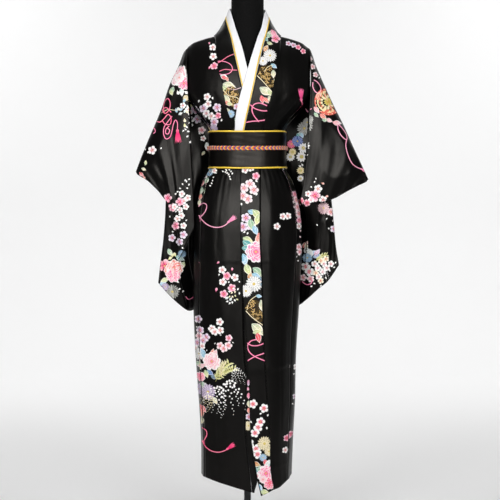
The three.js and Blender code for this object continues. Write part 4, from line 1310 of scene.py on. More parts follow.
# %% Leaves and sprays
def leaf(ink, x, z, r, colour, turn, rng):
    """A pointed leaf with a pale rim, two tones either side of the middle and side veins."""
    curl = rng.uniform(-0.12, 0.12)
    pale = mix(colour, WHITE, 0.55)
    deep = mix(colour, INKS["teal" if colour[0] < colour[1] * 1.25 else "red"], 0.6)
    petals(ink, x, z, [turn], r * 1.05, r * 0.60, pale, mix(colour, WHITE, 0.8), 0.85, curl=curl,
           rows=9)
    petals(ink, x, z, [turn], r * 0.97, r * 0.47, deep, mix(colour, WHITE, 0.1), 0.85, curl=curl,
           rows=9)
    for side in (-1, 1):
        for share in np.linspace(0.15, 0.75, 5):
            sx = x + r * (share * math.cos(turn) - curl * share ** 2 * math.sin(turn))
            sz = z + r * (share * math.sin(turn) + curl * share ** 2 * math.cos(turn))
            petals(ink, sx, sz, [turn + side * 0.7], r * 0.26, r * 0.035, pale, colour, 0.7,
                   rows=3, columns=3)
            ink.layer -= 1
    petals(ink, x, z, [turn], r * 0.97, r * 0.045, pale, pale, 0.5, curl=curl, rows=9, columns=3)


def sprig(ink, x, z, r, colour, turn, rng):
    """A stem with small narrow leaves on both sides."""
    tip = np.array([x + r * math.cos(turn), z + r * math.sin(turn)])
    bend = np.array([-math.sin(turn), math.cos(turn)]) * r * 0.12
    ribbon(ink, [(x, z), (np.array([x, z]) + tip) / 2 + bend, tip], 0.9, colour, colour)
    for i, share in enumerate(np.linspace(0.12, 1.0, 9)):
        base = mix(np.array([x, z]), tip, share) + bend * 4 * share * (1 - share)
        for side in (-1, 1):
            petals(ink, *base, [turn + side * rng.uniform(0.6, 1.0)], r * 0.26, r * 0.085,
                   mix(colour, BLACK, 0.3), mix(colour, WHITE, 0.4), 0.9, rows=5, columns=3)
            ink.layer -= 1
    ink.layer += 1


def spray(ink, x, z, r, colour, turn, rng):
    """Hanging strings of round buds that bow outwards and get smaller towards the tip."""
    c, s = math.cos(turn), math.sin(turn)
    for string in np.linspace(-1, 1, 5):
        length = rng.uniform(0.72, 1.0)
        for i in range(12):
            share = (i + 0.3 + rng.uniform(-0.15, 0.15)) / 12
            zigzag = (-1) ** i * 0.032 * (1.3 - share)
            ahead = r * (string * (0.12 + 0.30 * share * (1.7 - share)) + zigzag)
            down = -r * (length * share + 0.08 * string ** 2)
            disc(ink, x + ahead * c - down * s, z + ahead * s + down * c,
                 r * 0.022 * (1.45 - share), mix(colour, WHITE, 0.5), colour, 6)
            ink.layer -= 1
    ink.layer += 1


print("leaves and sprays drawn flat")

# %% Cords, tassels, brocade and the drum
def cord_print(ink, line, width, colour):
    """A cord as a broad ribbon in the colour with a pale line along it."""
    ribbon(ink, line, width, mix(colour, WHITE, 0.15), mix(colour, BLACK, 0.25))
    ribbon(ink, line, width * 0.3, mix(colour, WHITE, 0.6), mix(colour, WHITE, 0.35))


def tassel(ink, x, z, r, colour, turn, rng):
    """A solid skirt with fine threads over it, below a rounded head."""
    petals(ink, x, z, [turn], r * 0.95, r * 0.40, colour, mix(colour, WHITE, 0.12), 1.5,
           start=r * 0.18, rows=8)
    turns = turn + np.linspace(-0.24, 0.24, 9)
    petals(ink, x, z, turns, r, r * 0.10, mix(colour, BLACK, 0.1), mix(colour, WHITE, 0.15), 0.5,
           start=r * 0.22, rows=5, columns=3)
    petals(ink, x, z, [turn], r * 0.46, r * 0.26, mix(colour, WHITE, 0.2), colour, 0.7)


def brocade(ink, x, z, r, colour, turn, rng):
    """Woven cloth seen through the print: a dark ground with gold scrolls and dots."""
    disc(ink, x, z, r, INKS["black"], mix(colour, BLACK, 0.9), 20)
    for i in range(16):
        a, d = rng.uniform(0, 2 * np.pi), r * math.sqrt(rng.uniform(0.02, 0.85))
        px, pz = x + d * math.cos(a), z + d * math.sin(a)
        petals(ink, px, pz, ring_turns(3, a), r * 0.24, r * 0.12, mix(colour, WHITE, 0.25), colour,
               1.2, curl=0.5, rows=5, columns=3)


def wheel(ink, x, z, r, colour, turn, rng):
    """A drum seen from its face: a salmon rim with studs, a pale skin and dark spokes."""
    disc(ink, x, z, r * 1.12, INKS["salmon"], mix(INKS["salmon"], INKS["red"], 0.5), 36)
    disc(ink, x, z, r * 0.92, mix(colour, WHITE, 0.4), colour, 36)
    petals(ink, x, z, ring_turns(14, turn), r * 0.42, r * 0.13, BLACK, mix(INKS["gold"], BLACK, 0.6),
           1.4, start=r * 0.42, rows=4, columns=3)
    petals(ink, x, z, ring_turns(12, turn), r * 0.4, r * 0.13, INKS["gold"], INKS["lemon"], 1.3,
           rows=4, columns=3)
    for t in ring_turns(20):
        disc(ink, x + r * 1.03 * math.cos(t), z + r * 1.03 * math.sin(t), r * 0.045, WHITE,
             INKS["cream"], 6)
        ink.layer -= 1
    ink.layer += 1


MOTIFS = (blossom, heart, peony, mum, daisy, petal, leaf, sprig, spray, tassel, brocade, wheel)
MOTIFS = {motif.__name__: motif for motif in MOTIFS}
print("motifs", *MOTIFS)

# %% [markdown]
# ## Drawing the print
# The front of the print is drawn on squared paper as it is seen, so a place is a column from the
# left and a row from the top, and a size is in steps of the paper. The back is drawn in
# millimetres. Each line of a table below is one motif and all of its places.

# %% From the squared paper to millimetres
GRID_STEP = 3.2  # millimetres to one step, on cloth in the middle plane
MIDDLE_COLUMN = 247.5
LOWEST_ROW, LOWEST_HEIGHT = 497, 110  # the paper's last row and its height above the floor
EYE_HEIGHT = 900
TURN_ON = 37  # degrees from one place in a row to the next
# Cloth nearer the eye is seen larger, so what is drawn on it shrinks back to this share
FRONTS, STRIPS, FLAPS, BAGS, INSIDES = 0.9756, 0.974, 0.99, 0.9967, 1.0
DRAWN_IN_MM = None


def in_millimetres(size, places, share):
    """A size and its places: the distance from the middle column and from the eye's height, times
    the step and the share."""
    if share is DRAWN_IN_MM:
        return size, places
    x = (places[:, 0] - MIDDLE_COLUMN) * GRID_STEP
    height = LOWEST_HEIGHT + (LOWEST_ROW - places[:, 1]) * GRID_STEP
    z = EYE_HEIGHT + (height - EYE_HEIGHT) * share
    return size * GRID_STEP * share, np.stack([x * share, z], axis=1)


def draw(ink, table, seed, share):
    """Each line: motif, colour, size and turn in degrees, then its places: column and row, or x
    and height. A cord's places are the points of its curve, and its size is the width."""
    rng = np.random.default_rng(seed)
    for line in table.strip().splitlines():
        kind, colour, size, turn, *rest = line.split()
        places = np.array([float(v) for v in rest]).reshape(-1, 2)
        size, places = in_millimetres(float(size), places, share)
        if kind == "cord":
            cord_print(ink, places, size, INKS[colour])
            continue
        for number, (x, z) in enumerate(places):
            angle = math.radians(float(turn) + TURN_ON * number)
            MOTIFS[kind](ink, x, z, size, INKS[colour], angle, rng)
    return ink


# %% Tables of the right front: motif, colour, size, turn, then places
def count_rows(*tables):
    """Rows in all the tables together."""
    return sum(len(table.strip().splitlines()) for table in tables)


FRONT_RIGHT = """
blossom white 4 10 212.5 45 213 55
blossom rose 4 20 214 65
petal rose 3.5 60 208.5 68 209 42
blossom lilac 4.4 0 194 108 196 117 203 107 217 107 214 121 200 120
blossom rose 3.4 0 201 129 218 115 205 125
blossom white 3.8 0 207 96 208 103 211 115 206 112
mum lilac 5 0 213 128
petal white 3 70 198 101 213 99 221 111 191 112 193 101 222 118
sprig cream 10 -95 208 124
mum sky 4.4 0 209 171
leaf sage 7 200 206 173 208 177
blossom white 3 0 214 170 204 175
petal white 2.6 -50 222 170 224 171.5 226 173.5 228 175.5 230 178 231.5 180
petal white 2.4 -40 225 168.5 228 169.5 230 172 232 174.5 227 171.5
petal white 2.2 -130 214 176 212.5 179 211 182 209 185 215 173
leaf red 7 -100 202.5 179
leaf sage 8 -100 201.5 186
leaf salmon 7 -100 200.5 193
leaf cream 6 -100 199.5 199
cord pink 1 0 198 206 202 203 206 204 206.5 208 204 213 199 218
cord pink 1 0 198.5 215 203 221 210 226 218 227.5 225 225.5 229 222
tassel pink 9 38 227.5 223
petal rose 3.6 45 217 264 232 271
blossom white 4 0 222.5 270 235 277.5 223 282
blossom rose 4.2 0 227 276 232 288 224 294
petal rose 4.5 75 216 292
petal white 3 -20 228 291 232 289 237 290.5 239.5 295
petal cream 2.8 50 231 294 235 293.5 233.5 298
petal white 3 20 226 302 229 304.5 232.5 304 236 301.5
petal lemon 2.6 80 229.5 298 236 297 238.5 300
leaf white 4 30 225.5 299 230 301
petal white 2.4 40 228 283 219 276 240 283
blossom lilac 4.2 0 198 320 200 331 206 338 197 344 203 341
blossom white 4 0 220 322 212 329 215 332 220.5 330.5
blossom blush 4 0 220.5 346 224 348.5 228.5 345.5 199 337
blossom pink 3.6 0 229 338
blossom white 3.6 0 195.5 350 202 347
petal white 2 40 195 319 196 324 197 329 234 343 222 335 216 343 207 350 231 336
mum white 6.5 0 199 355
leaf sky 8 150 207 358
leaf salmon 8 75 212 357
leaf sage 8 200 201 364
leaf sky 9 120 205 357
leaf blush 9 60 213 358
peony blush 9.5 0 212 362
leaf blush 8 195 205 366
leaf blue 8 -40 207 371
leaf navy 7 -10 211 377
leaf lemon 8 -70 205 371
peony crimson 5.2 0 200.5 378
mum white 6 0 203 389
mum lilac 8.5 0 208 393
leaf sage 8 -110 203 383
leaf cream 8 -50 213 398
mum lilac 6 0 198 391
sprig lemon 22 55 216 382
sprig lemon 18 30 219 378
sprig cream 14 80 222 377
spray white 33 -14 219 386
spray white 38 10 228 380
spray cream 20 -40 212 397
spray white 20 22 235 368
leaf red 9 -45 200 407
leaf salmon 8 -85 201.5 411
leaf cream 7 -85 202 419
cord crimson 1 0 202 430 206 432 207 436 205 441 202 445
cord crimson 1 0 202 443 206 449 212 452.5 219 453 225 451 228 449
tassel crimson 9 36 226.5 450
"""
print("rows", count_rows(FRONT_RIGHT))

# %% Tables of the overlap strips and the left front
STRIP_LEFT = """
blossom white 3.6 0 245 170 251 168
blossom rose 4 0 256 176
blossom blush 5 0 250 184 244 188 254 190 248 199 243 196
petal white 3.4 70 256 196 242 206 258 182
blossom lilac 5 0 246 218 243 227 251 226
leaf sky 9 -20 248 211
leaf lemon 12 -50 253 210
leaf sage 12 -80 250 219
leaf lemon 12 -110 260 214
leaf sky 10 -60 253 226
leaf salmon 14 -85 259 233
petal white 3 30 243 233 247 235
leaf lemon 11 -20 243 238
leaf teal 13 -35 243 241
leaf teal 13 -5 242 248
leaf sky 12 -70 243 254
leaf lemon 12 -75 246 264
peony pink 11 0 256 252
leaf sage 13 -35 253 268
leaf sky 9 -20 252 274
leaf gold 8 75 249 280
mum white 8.5 0 254 284
mum white 6.5 0 246 291
leaf navy 6 -60 260 277 260 284
leaf sky 6 0 256 296
cord cream 0.7 0 247 310 250 301 256 296
brocade gold 8 0 254 308
brocade gold 6 0 260 316
leaf cream 13 -70 261 300
cord cream 0.8 0 246 311 253 318 264 326
leaf cream 16 -40 252 324
leaf lemon 9 20 253 333
leaf red 10 -70 257 333
leaf cream 7 -40 261 331
cord rose 1.1 0 247 343 252 345.5 258 345.5 265 343
cord rose 1.1 0 257 339.5 251 341 247.6 346 249.5 352 255 356.5 265 361
cord rose 1.1 0 247 361 255 356.5 265 353
heart white 4.7 0 253 404 264 408.5 260.5 422 258 427.5 255 433 249.5 443.5 256 449 257.5 454.5
petal white 3 60 267 417 267 430 252 423 250 434 262 413
mum cream 7.5 0 264.5 444
mum cream 5 0 269 452
mum sky 4 0 263 458
leaf red 8 -60 264 460
leaf gold 9 -20 252 463
leaf teal 10 -60 254 467
leaf sage 9 -75 259 466
leaf sky 8 -40 252 471
leaf salmon 6 -80 250 462
leaf white 9 60 266 468
peony pink 9 0 266 474
peony crimson 6.5 0 269.5 484
peony blush 4 0 263 480
leaf sky 9 -60 257 484
leaf lemon 9 -10 260 492
blossom white 3.4 0 257 476
"""
STRIP_RIGHT = """
leaf lilac 6 -85 248.5 380
petal pink 4 -90 248 387 249.5 390
leaf pink 6 -85 248.5 393
leaf cream 7 -85 248.6 401
leaf salmon 6 -85 248.5 408
blossom lilac 3.6 0 249 417
mum cream 5 0 248.5 426
"""
FRONT_LEFT = """
blossom lilac 3.6 0 293 171 296 176
petal white 2.4 60 275 166 280 168 285 169
leaf pink 9 -75 297 182 300 191
leaf crimson 6 -80 299 187
blossom blush 4.4 0 297 199.5 298.5 206.5 300 213
blossom pink 3.8 0 295.5 193.5 300 220
blossom white 3.4 0 299.5 226
blossom white 3.6 0 283 216.5 288.2 216 277 226.5
petal blush 2.6 80 301 232 301.5 238
blossom blush 3.6 0 299.5 247 300.5 252
petal white 2 80 297 258 299 262 304 263
blossom white 3.8 0 297.5 369
petal white 2.2 60 294 377 298 385 294 407
blossom lilac 3.6 0 296.5 399
blossom rose 3.6 0 287 440 291.5 437
blossom white 3.4 0 285.5 452
petal white 2.4 60 298 424
cord crimson 1 0 301.8 97 303.5 103 306 107.5 309 111
tassel rose 11 92 301.8 99.5
blossom lilac 3 0 289 40.5 294 42
blossom rose 3 0 299 44 304 48
"""
print("rows", count_rows(STRIP_LEFT, STRIP_RIGHT, FRONT_LEFT))

# %% Tables of the neckband
BAND_RIGHT = """
cord rose 0.9 0 216 61 221 60.5 227 62 231.5 65.5 232.3 70 229 73.5 223 74.5 219 73.5
cord crimson 0.8 0 217.5 62.5 222 60 228 56 235.5 53
cord crimson 0.8 0 219 71 225 69.3 231 70 237.5 70.3
leaf white 8.5 -28 220.5 75
leaf red 6.5 -28 221.5 76
leaf salmon 5 -60 226 77
leaf cream 13 -15 223 84
leaf lemon 9 -50 222 86
cord blush 0.7 0 228 88 234 90 241 88
brocade gold 7.5 0 231 94
brocade gold 7 0 236 101
leaf cream 10 -60 224 95
leaf salmon 6 -60 226 101
leaf lemon 6 -20 227 103
leaf cream 9 -65 226 108
blossom lilac 3.6 0 237 107
mum sky 4 0 231 114
cord cream 0.6 0 223 90 229 96 237 98 242 104
leaf sage 7 -50 235 118
"""
BAND_LEFT = """
leaf sage 9 70 268 36
leaf pink 10 -65 272 26
blossom rose 5 0 276 36
leaf teal 7 -60 264 34
leaf lemon 6 -20 267 41
leaf gold 8 60 264 51
mum white 7 0 270 55
mum white 5 0 263 61
leaf sky 7 -30 271 64
cord cream 0.6 0 264 72 268 67 273 65
brocade gold 7.5 0 266 73
brocade gold 7 0 271 81
leaf cream 8 -80 273 70 274 79
cord cream 0.7 0 257 76 264 83 272 92
leaf cream 14 -35 260 88
leaf lemon 8 -60 268 90
leaf red 8 -70 261 96
leaf salmon 7 -50 264 98
leaf cream 6 -80 269 96
cord rose 1.1 0 250 105 255 109 262 111 268 111
cord rose 1.1 0 267 106 260 103.5 254 105 252 110 254 116 259 122
cord rose 1.1 0 244 123 252 121.5 259 121 268 119.5
"""
print("rows", count_rows(BAND_RIGHT, BAND_LEFT))

# %% Tables of the right sleeve
SLEEVE_FRONT_RIGHT = """
leaf sage 8 -110 173 86
leaf lemon 7 -80 170 88
leaf white 8 -80 181 88
petal white 5 -70 177 90 184 91 174 84
peony blush 11.5 0 177 74
peony rose 7 0 184 83
peony white 5.5 0 179 77
mum cream 3.2 0 186 98
blossom white 3.2 0 183 105.5 188.5 109
leaf sky 4.4 30 179 110.5 183.5 102.5 177 112.5
leaf white 4.4 -20 176.5 108 178.5 114.5 184 113
petal white 4.4 -70 187 105 187.5 113 188.5 118 188.5 124
petal cream 4.4 -80 184.5 118.5 185.5 110.5
petal lemon 4.4 -80 184.5 123.5 188 101
petal white 3 60 190 98 191 96 188 128.5 190 132 189 136 191 141
petal white 2.6 -70 186.5 126 184.5 129 187 132 182.5 132
cord cream 0.5 0 161 112 168 109 174 110 180 110
cord crimson 1 0 164 113 163 105 165 99 168 98 170 103 169 109 165 113 162 109 166 107 171 112
cord crimson 1 0 156 120.5 160 121.5 164 118 168 114 171 118 170 124 165 124 162 120
cord rose 1 0 172 116 168 121 164 127 163.5 134 166 139 \
170 137 172 131 173.5 124 175.5 120 177.5 123 177.5 130
cord rose 1 0 167 128 169.5 130 168 134 165.5 133 166 129 169 126
cord rose 1 0 150 128 153 127 155 131 153 133
tassel crimson 12 -86 177.5 129
blossom white 4.6 0 152 150
petal white 2.4 30 160 149 147 153 145 150
leaf lemon 5 80 145 165
leaf red 6 -50 139 172
leaf cream 5 -20 141 168
leaf salmon 4 -60 143 176
petal white 2.6 50 184.5 181.5 186.5 183 183.5 185.5 181.5 189 179 191.5 \
176.5 193 183 192.5 180 196 186 188 188 180 188.5 186
blossom white 3.4 0 182 194 188 198 184 201
blossom rose 4.4 0 168 198 180 202
petal crimson 4 60 168 203
blossom white 3.2 0 175 207 180 210 186 207
"""
BAG_RIGHT = """
blossom rose 4.4 0 173 208 176 226
blossom white 3.4 0 182 216 178 219 184 226
blossom lilac 4 0 172 238 180 242 184 235
petal white 2.4 60 176 213 170 218 184 249 174 232 188 220
leaf sage 8 -60 168 249
leaf teal 9 -30 176 256
leaf lemon 8 -120 184 262
mum sky 4 0 182 254
petal lemon 5 40 168 260 172 258 176 257
blossom crimson 7 0 164.5 266
leaf sky 8 200 166 282
leaf salmon 9 120 169 275
peony salmon 9 0 174.5 268
peony rose 8 0 173 275
leaf lemon 8 -160 168 279
mum grey 7.5 0 172 292
mum lilac 4 0 165 287
petal white 3 30 178 290 182 293 163 291 179 283
cord rose 1 0 185 297 188 300 192 298 194 295
"""
print("rows", count_rows(SLEEVE_FRONT_RIGHT, BAG_RIGHT))

# %% Tables of the left sleeve and the sleeves' insides
SLEEVE_FRONT_LEFT = """
blossom blush 3 0 310 58 313 66 316 74
petal white 3 60 319 78
cord pink 1 0 313 82 313 87 316 92 320 92 321 87 318 82 314 79.5
leaf salmon 9 65 317 100
leaf blush 8 -45 314 107
leaf salmon 8 -40 320 114
leaf blush 7 -15 326 119
wheel cream 12.5 0 328.5 101
leaf blush 9 -10 333 122
leaf sage 6 -40 314 113 322 120
cord pink 1 0 338 124 338.5 130 342 136 347 139.5 347 134 343 128 339 124
cord pink 1 0 347 139 346 146 348.5 156 353 164 359 167.5 365 169
tassel pink 6 -25 361 168
petal salmon 3.6 -20 321 183 325 197
blossom white 4.2 0 318 189 323 200
blossom rose 6 0 314.5 196
blossom white 3.2 0 308 194 311 200
petal white 2.2 60 314 183 316 180 312 188
blossom crimson 3.4 0 301 201 307 203
mum blush 6.5 0 324 208
"""
INSIDE_LEFT = """
cord pink 1 0 306 107 309 111 311 110
mum grey 7.5 0 305 127
mum grey 5 0 308 121
leaf teal 6 40 297 135
leaf sky 6 -80 302 131
leaf red 6 200 296 141
mum crimson 4.6 0 292 143
mum blue 6 0 298 140
daisy white 5.4 0 304 147
daisy white 5.6 0 302 156
daisy white 4.6 0 291 156
daisy cream 4 0 293 151
petal white 3 -60 302 163 299 165
daisy cream 4 0 301 170
daisy white 3.4 0 301 178
"""
INSIDE_RIGHT = """
blossom lilac 4.4 0 194 108 196.5 117.5
blossom white 3.4 0 194 100 199 114
blossom blush 4 0 201 128.5
petal white 3 60 203 122 198 105 200 133
blossom white 3 0 202.5 137
leaf white 9 -80 206 141
leaf cream 5 -120 204 150
"""
BAG_LEFT = """
blossom blush 4.4 0 331 212 337 221
blossom lilac 4 0 334 229
petal white 2.4 60 326 220 329 230 318 226
leaf salmon 8 60 304 248
leaf cream 6 95 307 249
leaf sky 8 45 309 256
leaf white 9 -80 306.5 247
leaf white 8 -75 310 249
mum sky 5 0 308 258
leaf blue 7 10 313 257
leaf lilac 8 60 315 256
leaf blue 6 -60 318 254
heart white 4.6 0 306.5 267 310 272
blossom blush 3.6 0 304 278 311 279
blossom white 3.4 0 318 268 323 272 319 277 327 268 331 264 324 264 315 264
blossom cream 3.2 0 321 261 326 259 316 273 321 281
sprig lemon 12 30 316 261
spray white 15 10 322 268
petal white 2.6 20 333 268 335 264 330 272 327 279 316 284 313 286 322 285
cord rose 1 0 303 282 307 285 311 284 313 280
"""
print("rows", count_rows(SLEEVE_FRONT_LEFT, INSIDE_LEFT, INSIDE_RIGHT, BAG_LEFT))

# %% Tables of the back, in millimetres
BACK_RIGHT = """
blossom white 13 0 -60 1470 -84 1442 -70 1418
blossom rose 13 20 -96 1466 -52 1436
petal white 8 60 -40 1478 -104 1430 -58 1400
leaf sage 26 -150 -118 1000
leaf teal 26 -40 -72 990
peony pink 34 0 -92 1010
mum white 26 0 -62 960
blossom lilac 14 0 -40 1020 -30 985 -118 1050 -96 1066
sprig lemon 60 -100 -96 960
spray white 80 10 -60 930
cord rose 3.2 0 -150 620 -120 640 -98 628 -96 600 -116 590 -140 604
cord rose 3.2 0 -120 596 -84 560 -52 552 -34 566
tassel rose 30 35 -40 562
blossom pink 14 0 -60 360 -84 336 -46 328 -72 304
petal white 8 40 -100 352 -40 296
leaf lemon 24 -60 -96 330
"""
BACK_LEFT = """
blossom blush 14 0 70 1380 96 1352 58 1344
petal rose 9 30 40 1372 104 1380
leaf cream 26 -70 84 1336
blossom white 14 0 60 860 88 838 44 826
blossom rose 14 10 72 806 104 866
leaf sage 26 -30 96 810
mum lilac 26 0 66 560
peony blush 32 0 96 520
leaf blue 24 -140 70 508
leaf lemon 26 -60 112 492
spray white 90 -6 74 486
sprig cream 60 -80 112 478
blossom white 12 0 44 610 92 596 30 580
petal white 7 60 30 540 120 570
brocade gold 24 0 60 250
leaf red 28 60 76 262
leaf cream 30 -20 84 244
cord crimson 3.2 0 20 300 44 282 40 262 20 270 30 300 60 320
"""
SLEEVE_BACK_RIGHT = """
peony pink 34 0 -230 1300
leaf teal 28 -50 -208 1270
leaf lemon 26 -130 -250 1272
blossom white 13 0 -262 1330 -204 1340 -270 1250
mum white 26 0 -220 900
blossom rose 14 0 -196 940 -244 868 -190 860
spray white 70 0 -232 872
petal white 8 50 -250 930 -210 830
"""
SLEEVE_BACK_LEFT = """
mum blush 28 0 240 1320
leaf sage 26 -40 262 1296
blossom pink 14 0 214 1280 280 1340 226 1250
cord rose 3.2 0 250 1180 276 1196 292 1176 276 1160 250 1172 226 1140 216 1110
tassel rose 30 -80 216 1112
blossom white 13 0 220 980 246 956 210 930
peony blush 30 0 240 900
leaf teal 26 -120 222 872
"""
print("rows", count_rows(BACK_RIGHT, BACK_LEFT, SLEEVE_BACK_RIGHT, SLEEVE_BACK_LEFT))

# %% [markdown]
# ## Laying the print on the cloth
# A printed length is cut at its seams, so the drawing is held inside the edges of its piece
# before it is projected. What misses the cloth is left out.

# %% Projecting the print
AWAY = 1.0  # metres from the middle to the flat drawing
MISSED = 0.3  # metres; a point that moved less has missed the cloth
STRETCH, SLACK = 3, 1.5  # a side may grow to STRETCH times its length and SLACK millimetres more
SLIVER = 0.004  # a face smaller than about this, in square millimetres, is left out
prints = {name: [] for name in sheets}


def lay_on(name, ink, target, side, low, high):
    """Project the flat shapes along Y, from the front (side -1) or the back (side 1), keep the
    faces that met the cloth, and move them out along their normals. low and high are lines of
    (heights, x) that the shapes are held between."""
    flat, faces = np.concatenate(ink.points), np.concatenate(ink.faces)
    colours, lifts = np.concatenate(ink.colours), np.concatenate(ink.lifts)
    for limit, keep in ((low, np.maximum), (high, np.minimum)):
        if limit is not None:
            order = np.argsort(limit[0])
            flat[:, 0] = keep(flat[:, 0], np.interp(flat[:, 1], limit[0][order], limit[1][order]))
    verts = np.stack([flat[:, 0], np.full(len(flat), side * AWAY / MM), flat[:, 1]], axis=1) * MM
    temp = new_object(name + "_flat", verts, faces)
    wrap = temp.modifiers.new("wrap", "SHRINKWRAP")
    wrap.wrap_method, wrap.target, wrap.use_project_y = "PROJECT", target, True
    wrap.use_positive_direction, wrap.use_negative_direction = side < 0, side > 0
    shaped = temp.evaluated_get(bpy.context.evaluated_depsgraph_get()).to_mesh()
    co = np.empty(len(verts) * 3)
    shaped.vertices.foreach_get("co", co)
    co = co.reshape(-1, 3)
    bpy.data.objects.remove(temp)
    a, b, c, d = (flat[faces[:, k]] for k in range(4))
    winding = (c - a)[:, 1] * (d - b)[:, 0] - (c - a)[:, 0] * (d - b)[:, 1]
    sides2 = np.stack([b - a, c - b, d - c, a - d])
    sides3 = np.stack([co[faces[:, (k + 1) % 4]] - co[faces[:, k]] for k in range(4)]) / MM
    longest = STRETCH * np.linalg.norm(sides2, axis=2) + SLACK
    stretched = (np.linalg.norm(sides3, axis=2) > longest).any(axis=0)
    met = (np.abs(co[:, 1] - side * AWAY) > MISSED)[faces].all(axis=1)
    keep = met & ~stretched & (np.abs(winding) > SLIVER)
    faces = np.where((winding * side > 0)[:, None], faces, faces[:, ::-1])[keep]
    used, faces = np.unique(faces, return_inverse=True)
    piece = new_object(name, co[used], faces.reshape(-1, 4))
    normals = np.empty(len(used) * 3)
    piece.data.vertex_normals.foreach_get("vector", normals)
    out = co[used] + normals.reshape(-1, 3) * lifts[used][:, None] * MM
    piece.data.vertices.foreach_set("co", out.ravel())
    rgba = np.concatenate([colours[used], np.ones((len(used), 1))], axis=1)
    layer = piece.data.color_attributes.new("ink", "FLOAT_COLOR", "POINT")
    layer.data.foreach_set("color", rgba.ravel())
    piece.data.update()
    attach(piece, "root")
    dress(piece, printed, "satin")
    prints[target.name].append(piece)
    print(name, "faces", len(faces))


# %% Edges that hold the print
EDGE_HEIGHTS = np.linspace(100, 1600, 400)
SEAM_HEIGHTS = np.linspace(100, 1400, 300)
HALF_BAND = len(collars) // 3  # rows of the neckband that lie on one front


def edge_line(table, distance):
    """A panel's edge, moved sideways."""
    return EDGE_HEIGHTS, read(table, EDGE_HEIGHTS) + distance


def side_seam(side, distance):
    """The side seam as it stands on the body, moved sideways."""
    angle = side * np.radians(read(SIDE_EDGE, SEAM_HEIGHTS))
    return SEAM_HEIGHTS, shell(angle, SEAM_HEIGHTS - SHOULDER_Z)[:, 0] + distance


def band_edge(rows, column, distance):
    """One edge of the neckband, moved sideways."""
    return band_grid[rows, column, 2], band_grid[rows, column, 0] + distance


right_rows, left_rows = slice(0, HALF_BAND), slice(-HALF_BAND, None)
print("rows of each half of the band", HALF_BAND)

# %% Print of the whole garment
FRONT, BACK = -1, 1
# print, table, share, cloth, side, low edge, high edge
LAYOUT = [
    ("front_right", FRONT_RIGHT, FRONTS, "front_right", FRONT,
     side_seam(-1, 1), edge_line(RIGHT_FRONT_EDGE, -1)),
    ("side_right", FRONT_RIGHT, FRONTS, "back_right", FRONT, None, side_seam(-1, -1.5)),
    ("strip_left", STRIP_LEFT, STRIPS, "overlap_left", FRONT,
     edge_line(LEFT_STRIP_EDGE, 1.2), edge_line(LEFT_FRONT_EDGE, -1.5)),
    ("strip_right", STRIP_RIGHT, STRIPS, "overlap_right", FRONT,
     edge_line(RIGHT_FRONT_EDGE, 1.5), edge_line(RIGHT_STRIP_EDGE, -1.2)),
    ("front_left", FRONT_LEFT, FRONTS, "front_left", FRONT,
     edge_line(LEFT_FRONT_EDGE, 1), side_seam(1, -1)),
    ("side_left", FRONT_LEFT, FRONTS, "back_left", FRONT, side_seam(1, 1.5), None),
    ("band_right", BAND_RIGHT, FRONTS, "neckband", FRONT,
     band_edge(right_rows, 0, 1), band_edge(right_rows, -1, -1)),
    ("band_left", BAND_LEFT, FRONTS, "neckband", FRONT,
     band_edge(left_rows, -1, 1), band_edge(left_rows, 0, -1)),
    ("sleeve_right", SLEEVE_FRONT_RIGHT, FLAPS, "sleeve_right", FRONT, None, None),
    ("bag_right", BAG_RIGHT, BAGS, "sleeve_right", FRONT, None, None),
    ("sleeve_left", SLEEVE_FRONT_LEFT, FLAPS, "sleeve_left", FRONT, None, None),
    ("inside_right", INSIDE_RIGHT, INSIDES, "sleeve_right", FRONT, None, None),
    ("inside_left", INSIDE_LEFT, INSIDES, "sleeve_left", FRONT, None, None),
    ("bag_left", BAG_LEFT, BAGS, "sleeve_left", FRONT, None, None),
    ("back_right", BACK_RIGHT, DRAWN_IN_MM, "back_right", BACK, None, None),
    ("back_left", BACK_LEFT, DRAWN_IN_MM, "back_left", BACK, None, None),
    ("sleeve_back_right", SLEEVE_BACK_RIGHT, DRAWN_IN_MM, "sleeve_right", BACK, None, None),
    ("sleeve_back_left", SLEEVE_BACK_LEFT, DRAWN_IN_MM, "sleeve_left", BACK, None, None),
]
for seed, (name, table, share, cloth, side, low, high) in enumerate(LAYOUT):
    target, _ = sheets["cloth_" + cloth]
    lay_on("print_" + name, draw(Ink(), table, seed, share), target, side, low, high)

# %% [markdown]
# ## Sheets
# A table gives each cloth piece the size it was cut to, how it is held and the solids that carry it;
# each piece is looked up, and nothing more is done with it. The fronts and backs hang on the form,
# the sleeves hang from the shoulders, the collars are folded and the sash is pulled round the waist.

# %% Sheet sizes
# width and length of the cut in metres, how it is held, and the solids that carry it
CUTS = {
    "cloth_front_right": (0.24, 1.47, "hung", ["form_torso"]),
    "cloth_front_left": (0.22, 1.47, "hung", ["front_right", "form_torso"]),
    "cloth_overlap_right": (0.075, 1.09, "hung", ["front_right"]),
    "cloth_overlap_left": (0.09, 1.1, "hung", ["front_left"]),
    "cloth_back_right": (0.29, 1.46, "hung", ["form_torso"]),
    "cloth_back_left": (0.29, 1.46, "hung", ["form_torso"]),
    "cloth_sleeve_right": (0.60, 1.05, "hung", ["front_right", "back_right"]),
    "cloth_sleeve_left": (0.60, 1.05, "hung", ["front_left", "back_left"]),
    "cloth_neckband": (0.09, 1.35, "folded", ["front_right", "front_left"]),
    "cloth_white_collar": (0.06, 1.3, "folded", ["neckband"]),
    "cloth_sash": (0.115, 0.77, "stretched", ["neckband", "front_left"]),
}
for name, (width, length, held, rests_on) in CUTS.items():
    piece, grids = sheets[name]

# %% [markdown]
# ## Studio
# A plain white floor curves up into a backdrop well behind the object. Three soft lights in front
# have a narrow spread, so they reach the garment and leave the floor before it plain, a wide one
# above gives the sheen on the shoulders, and two light the wall alone.

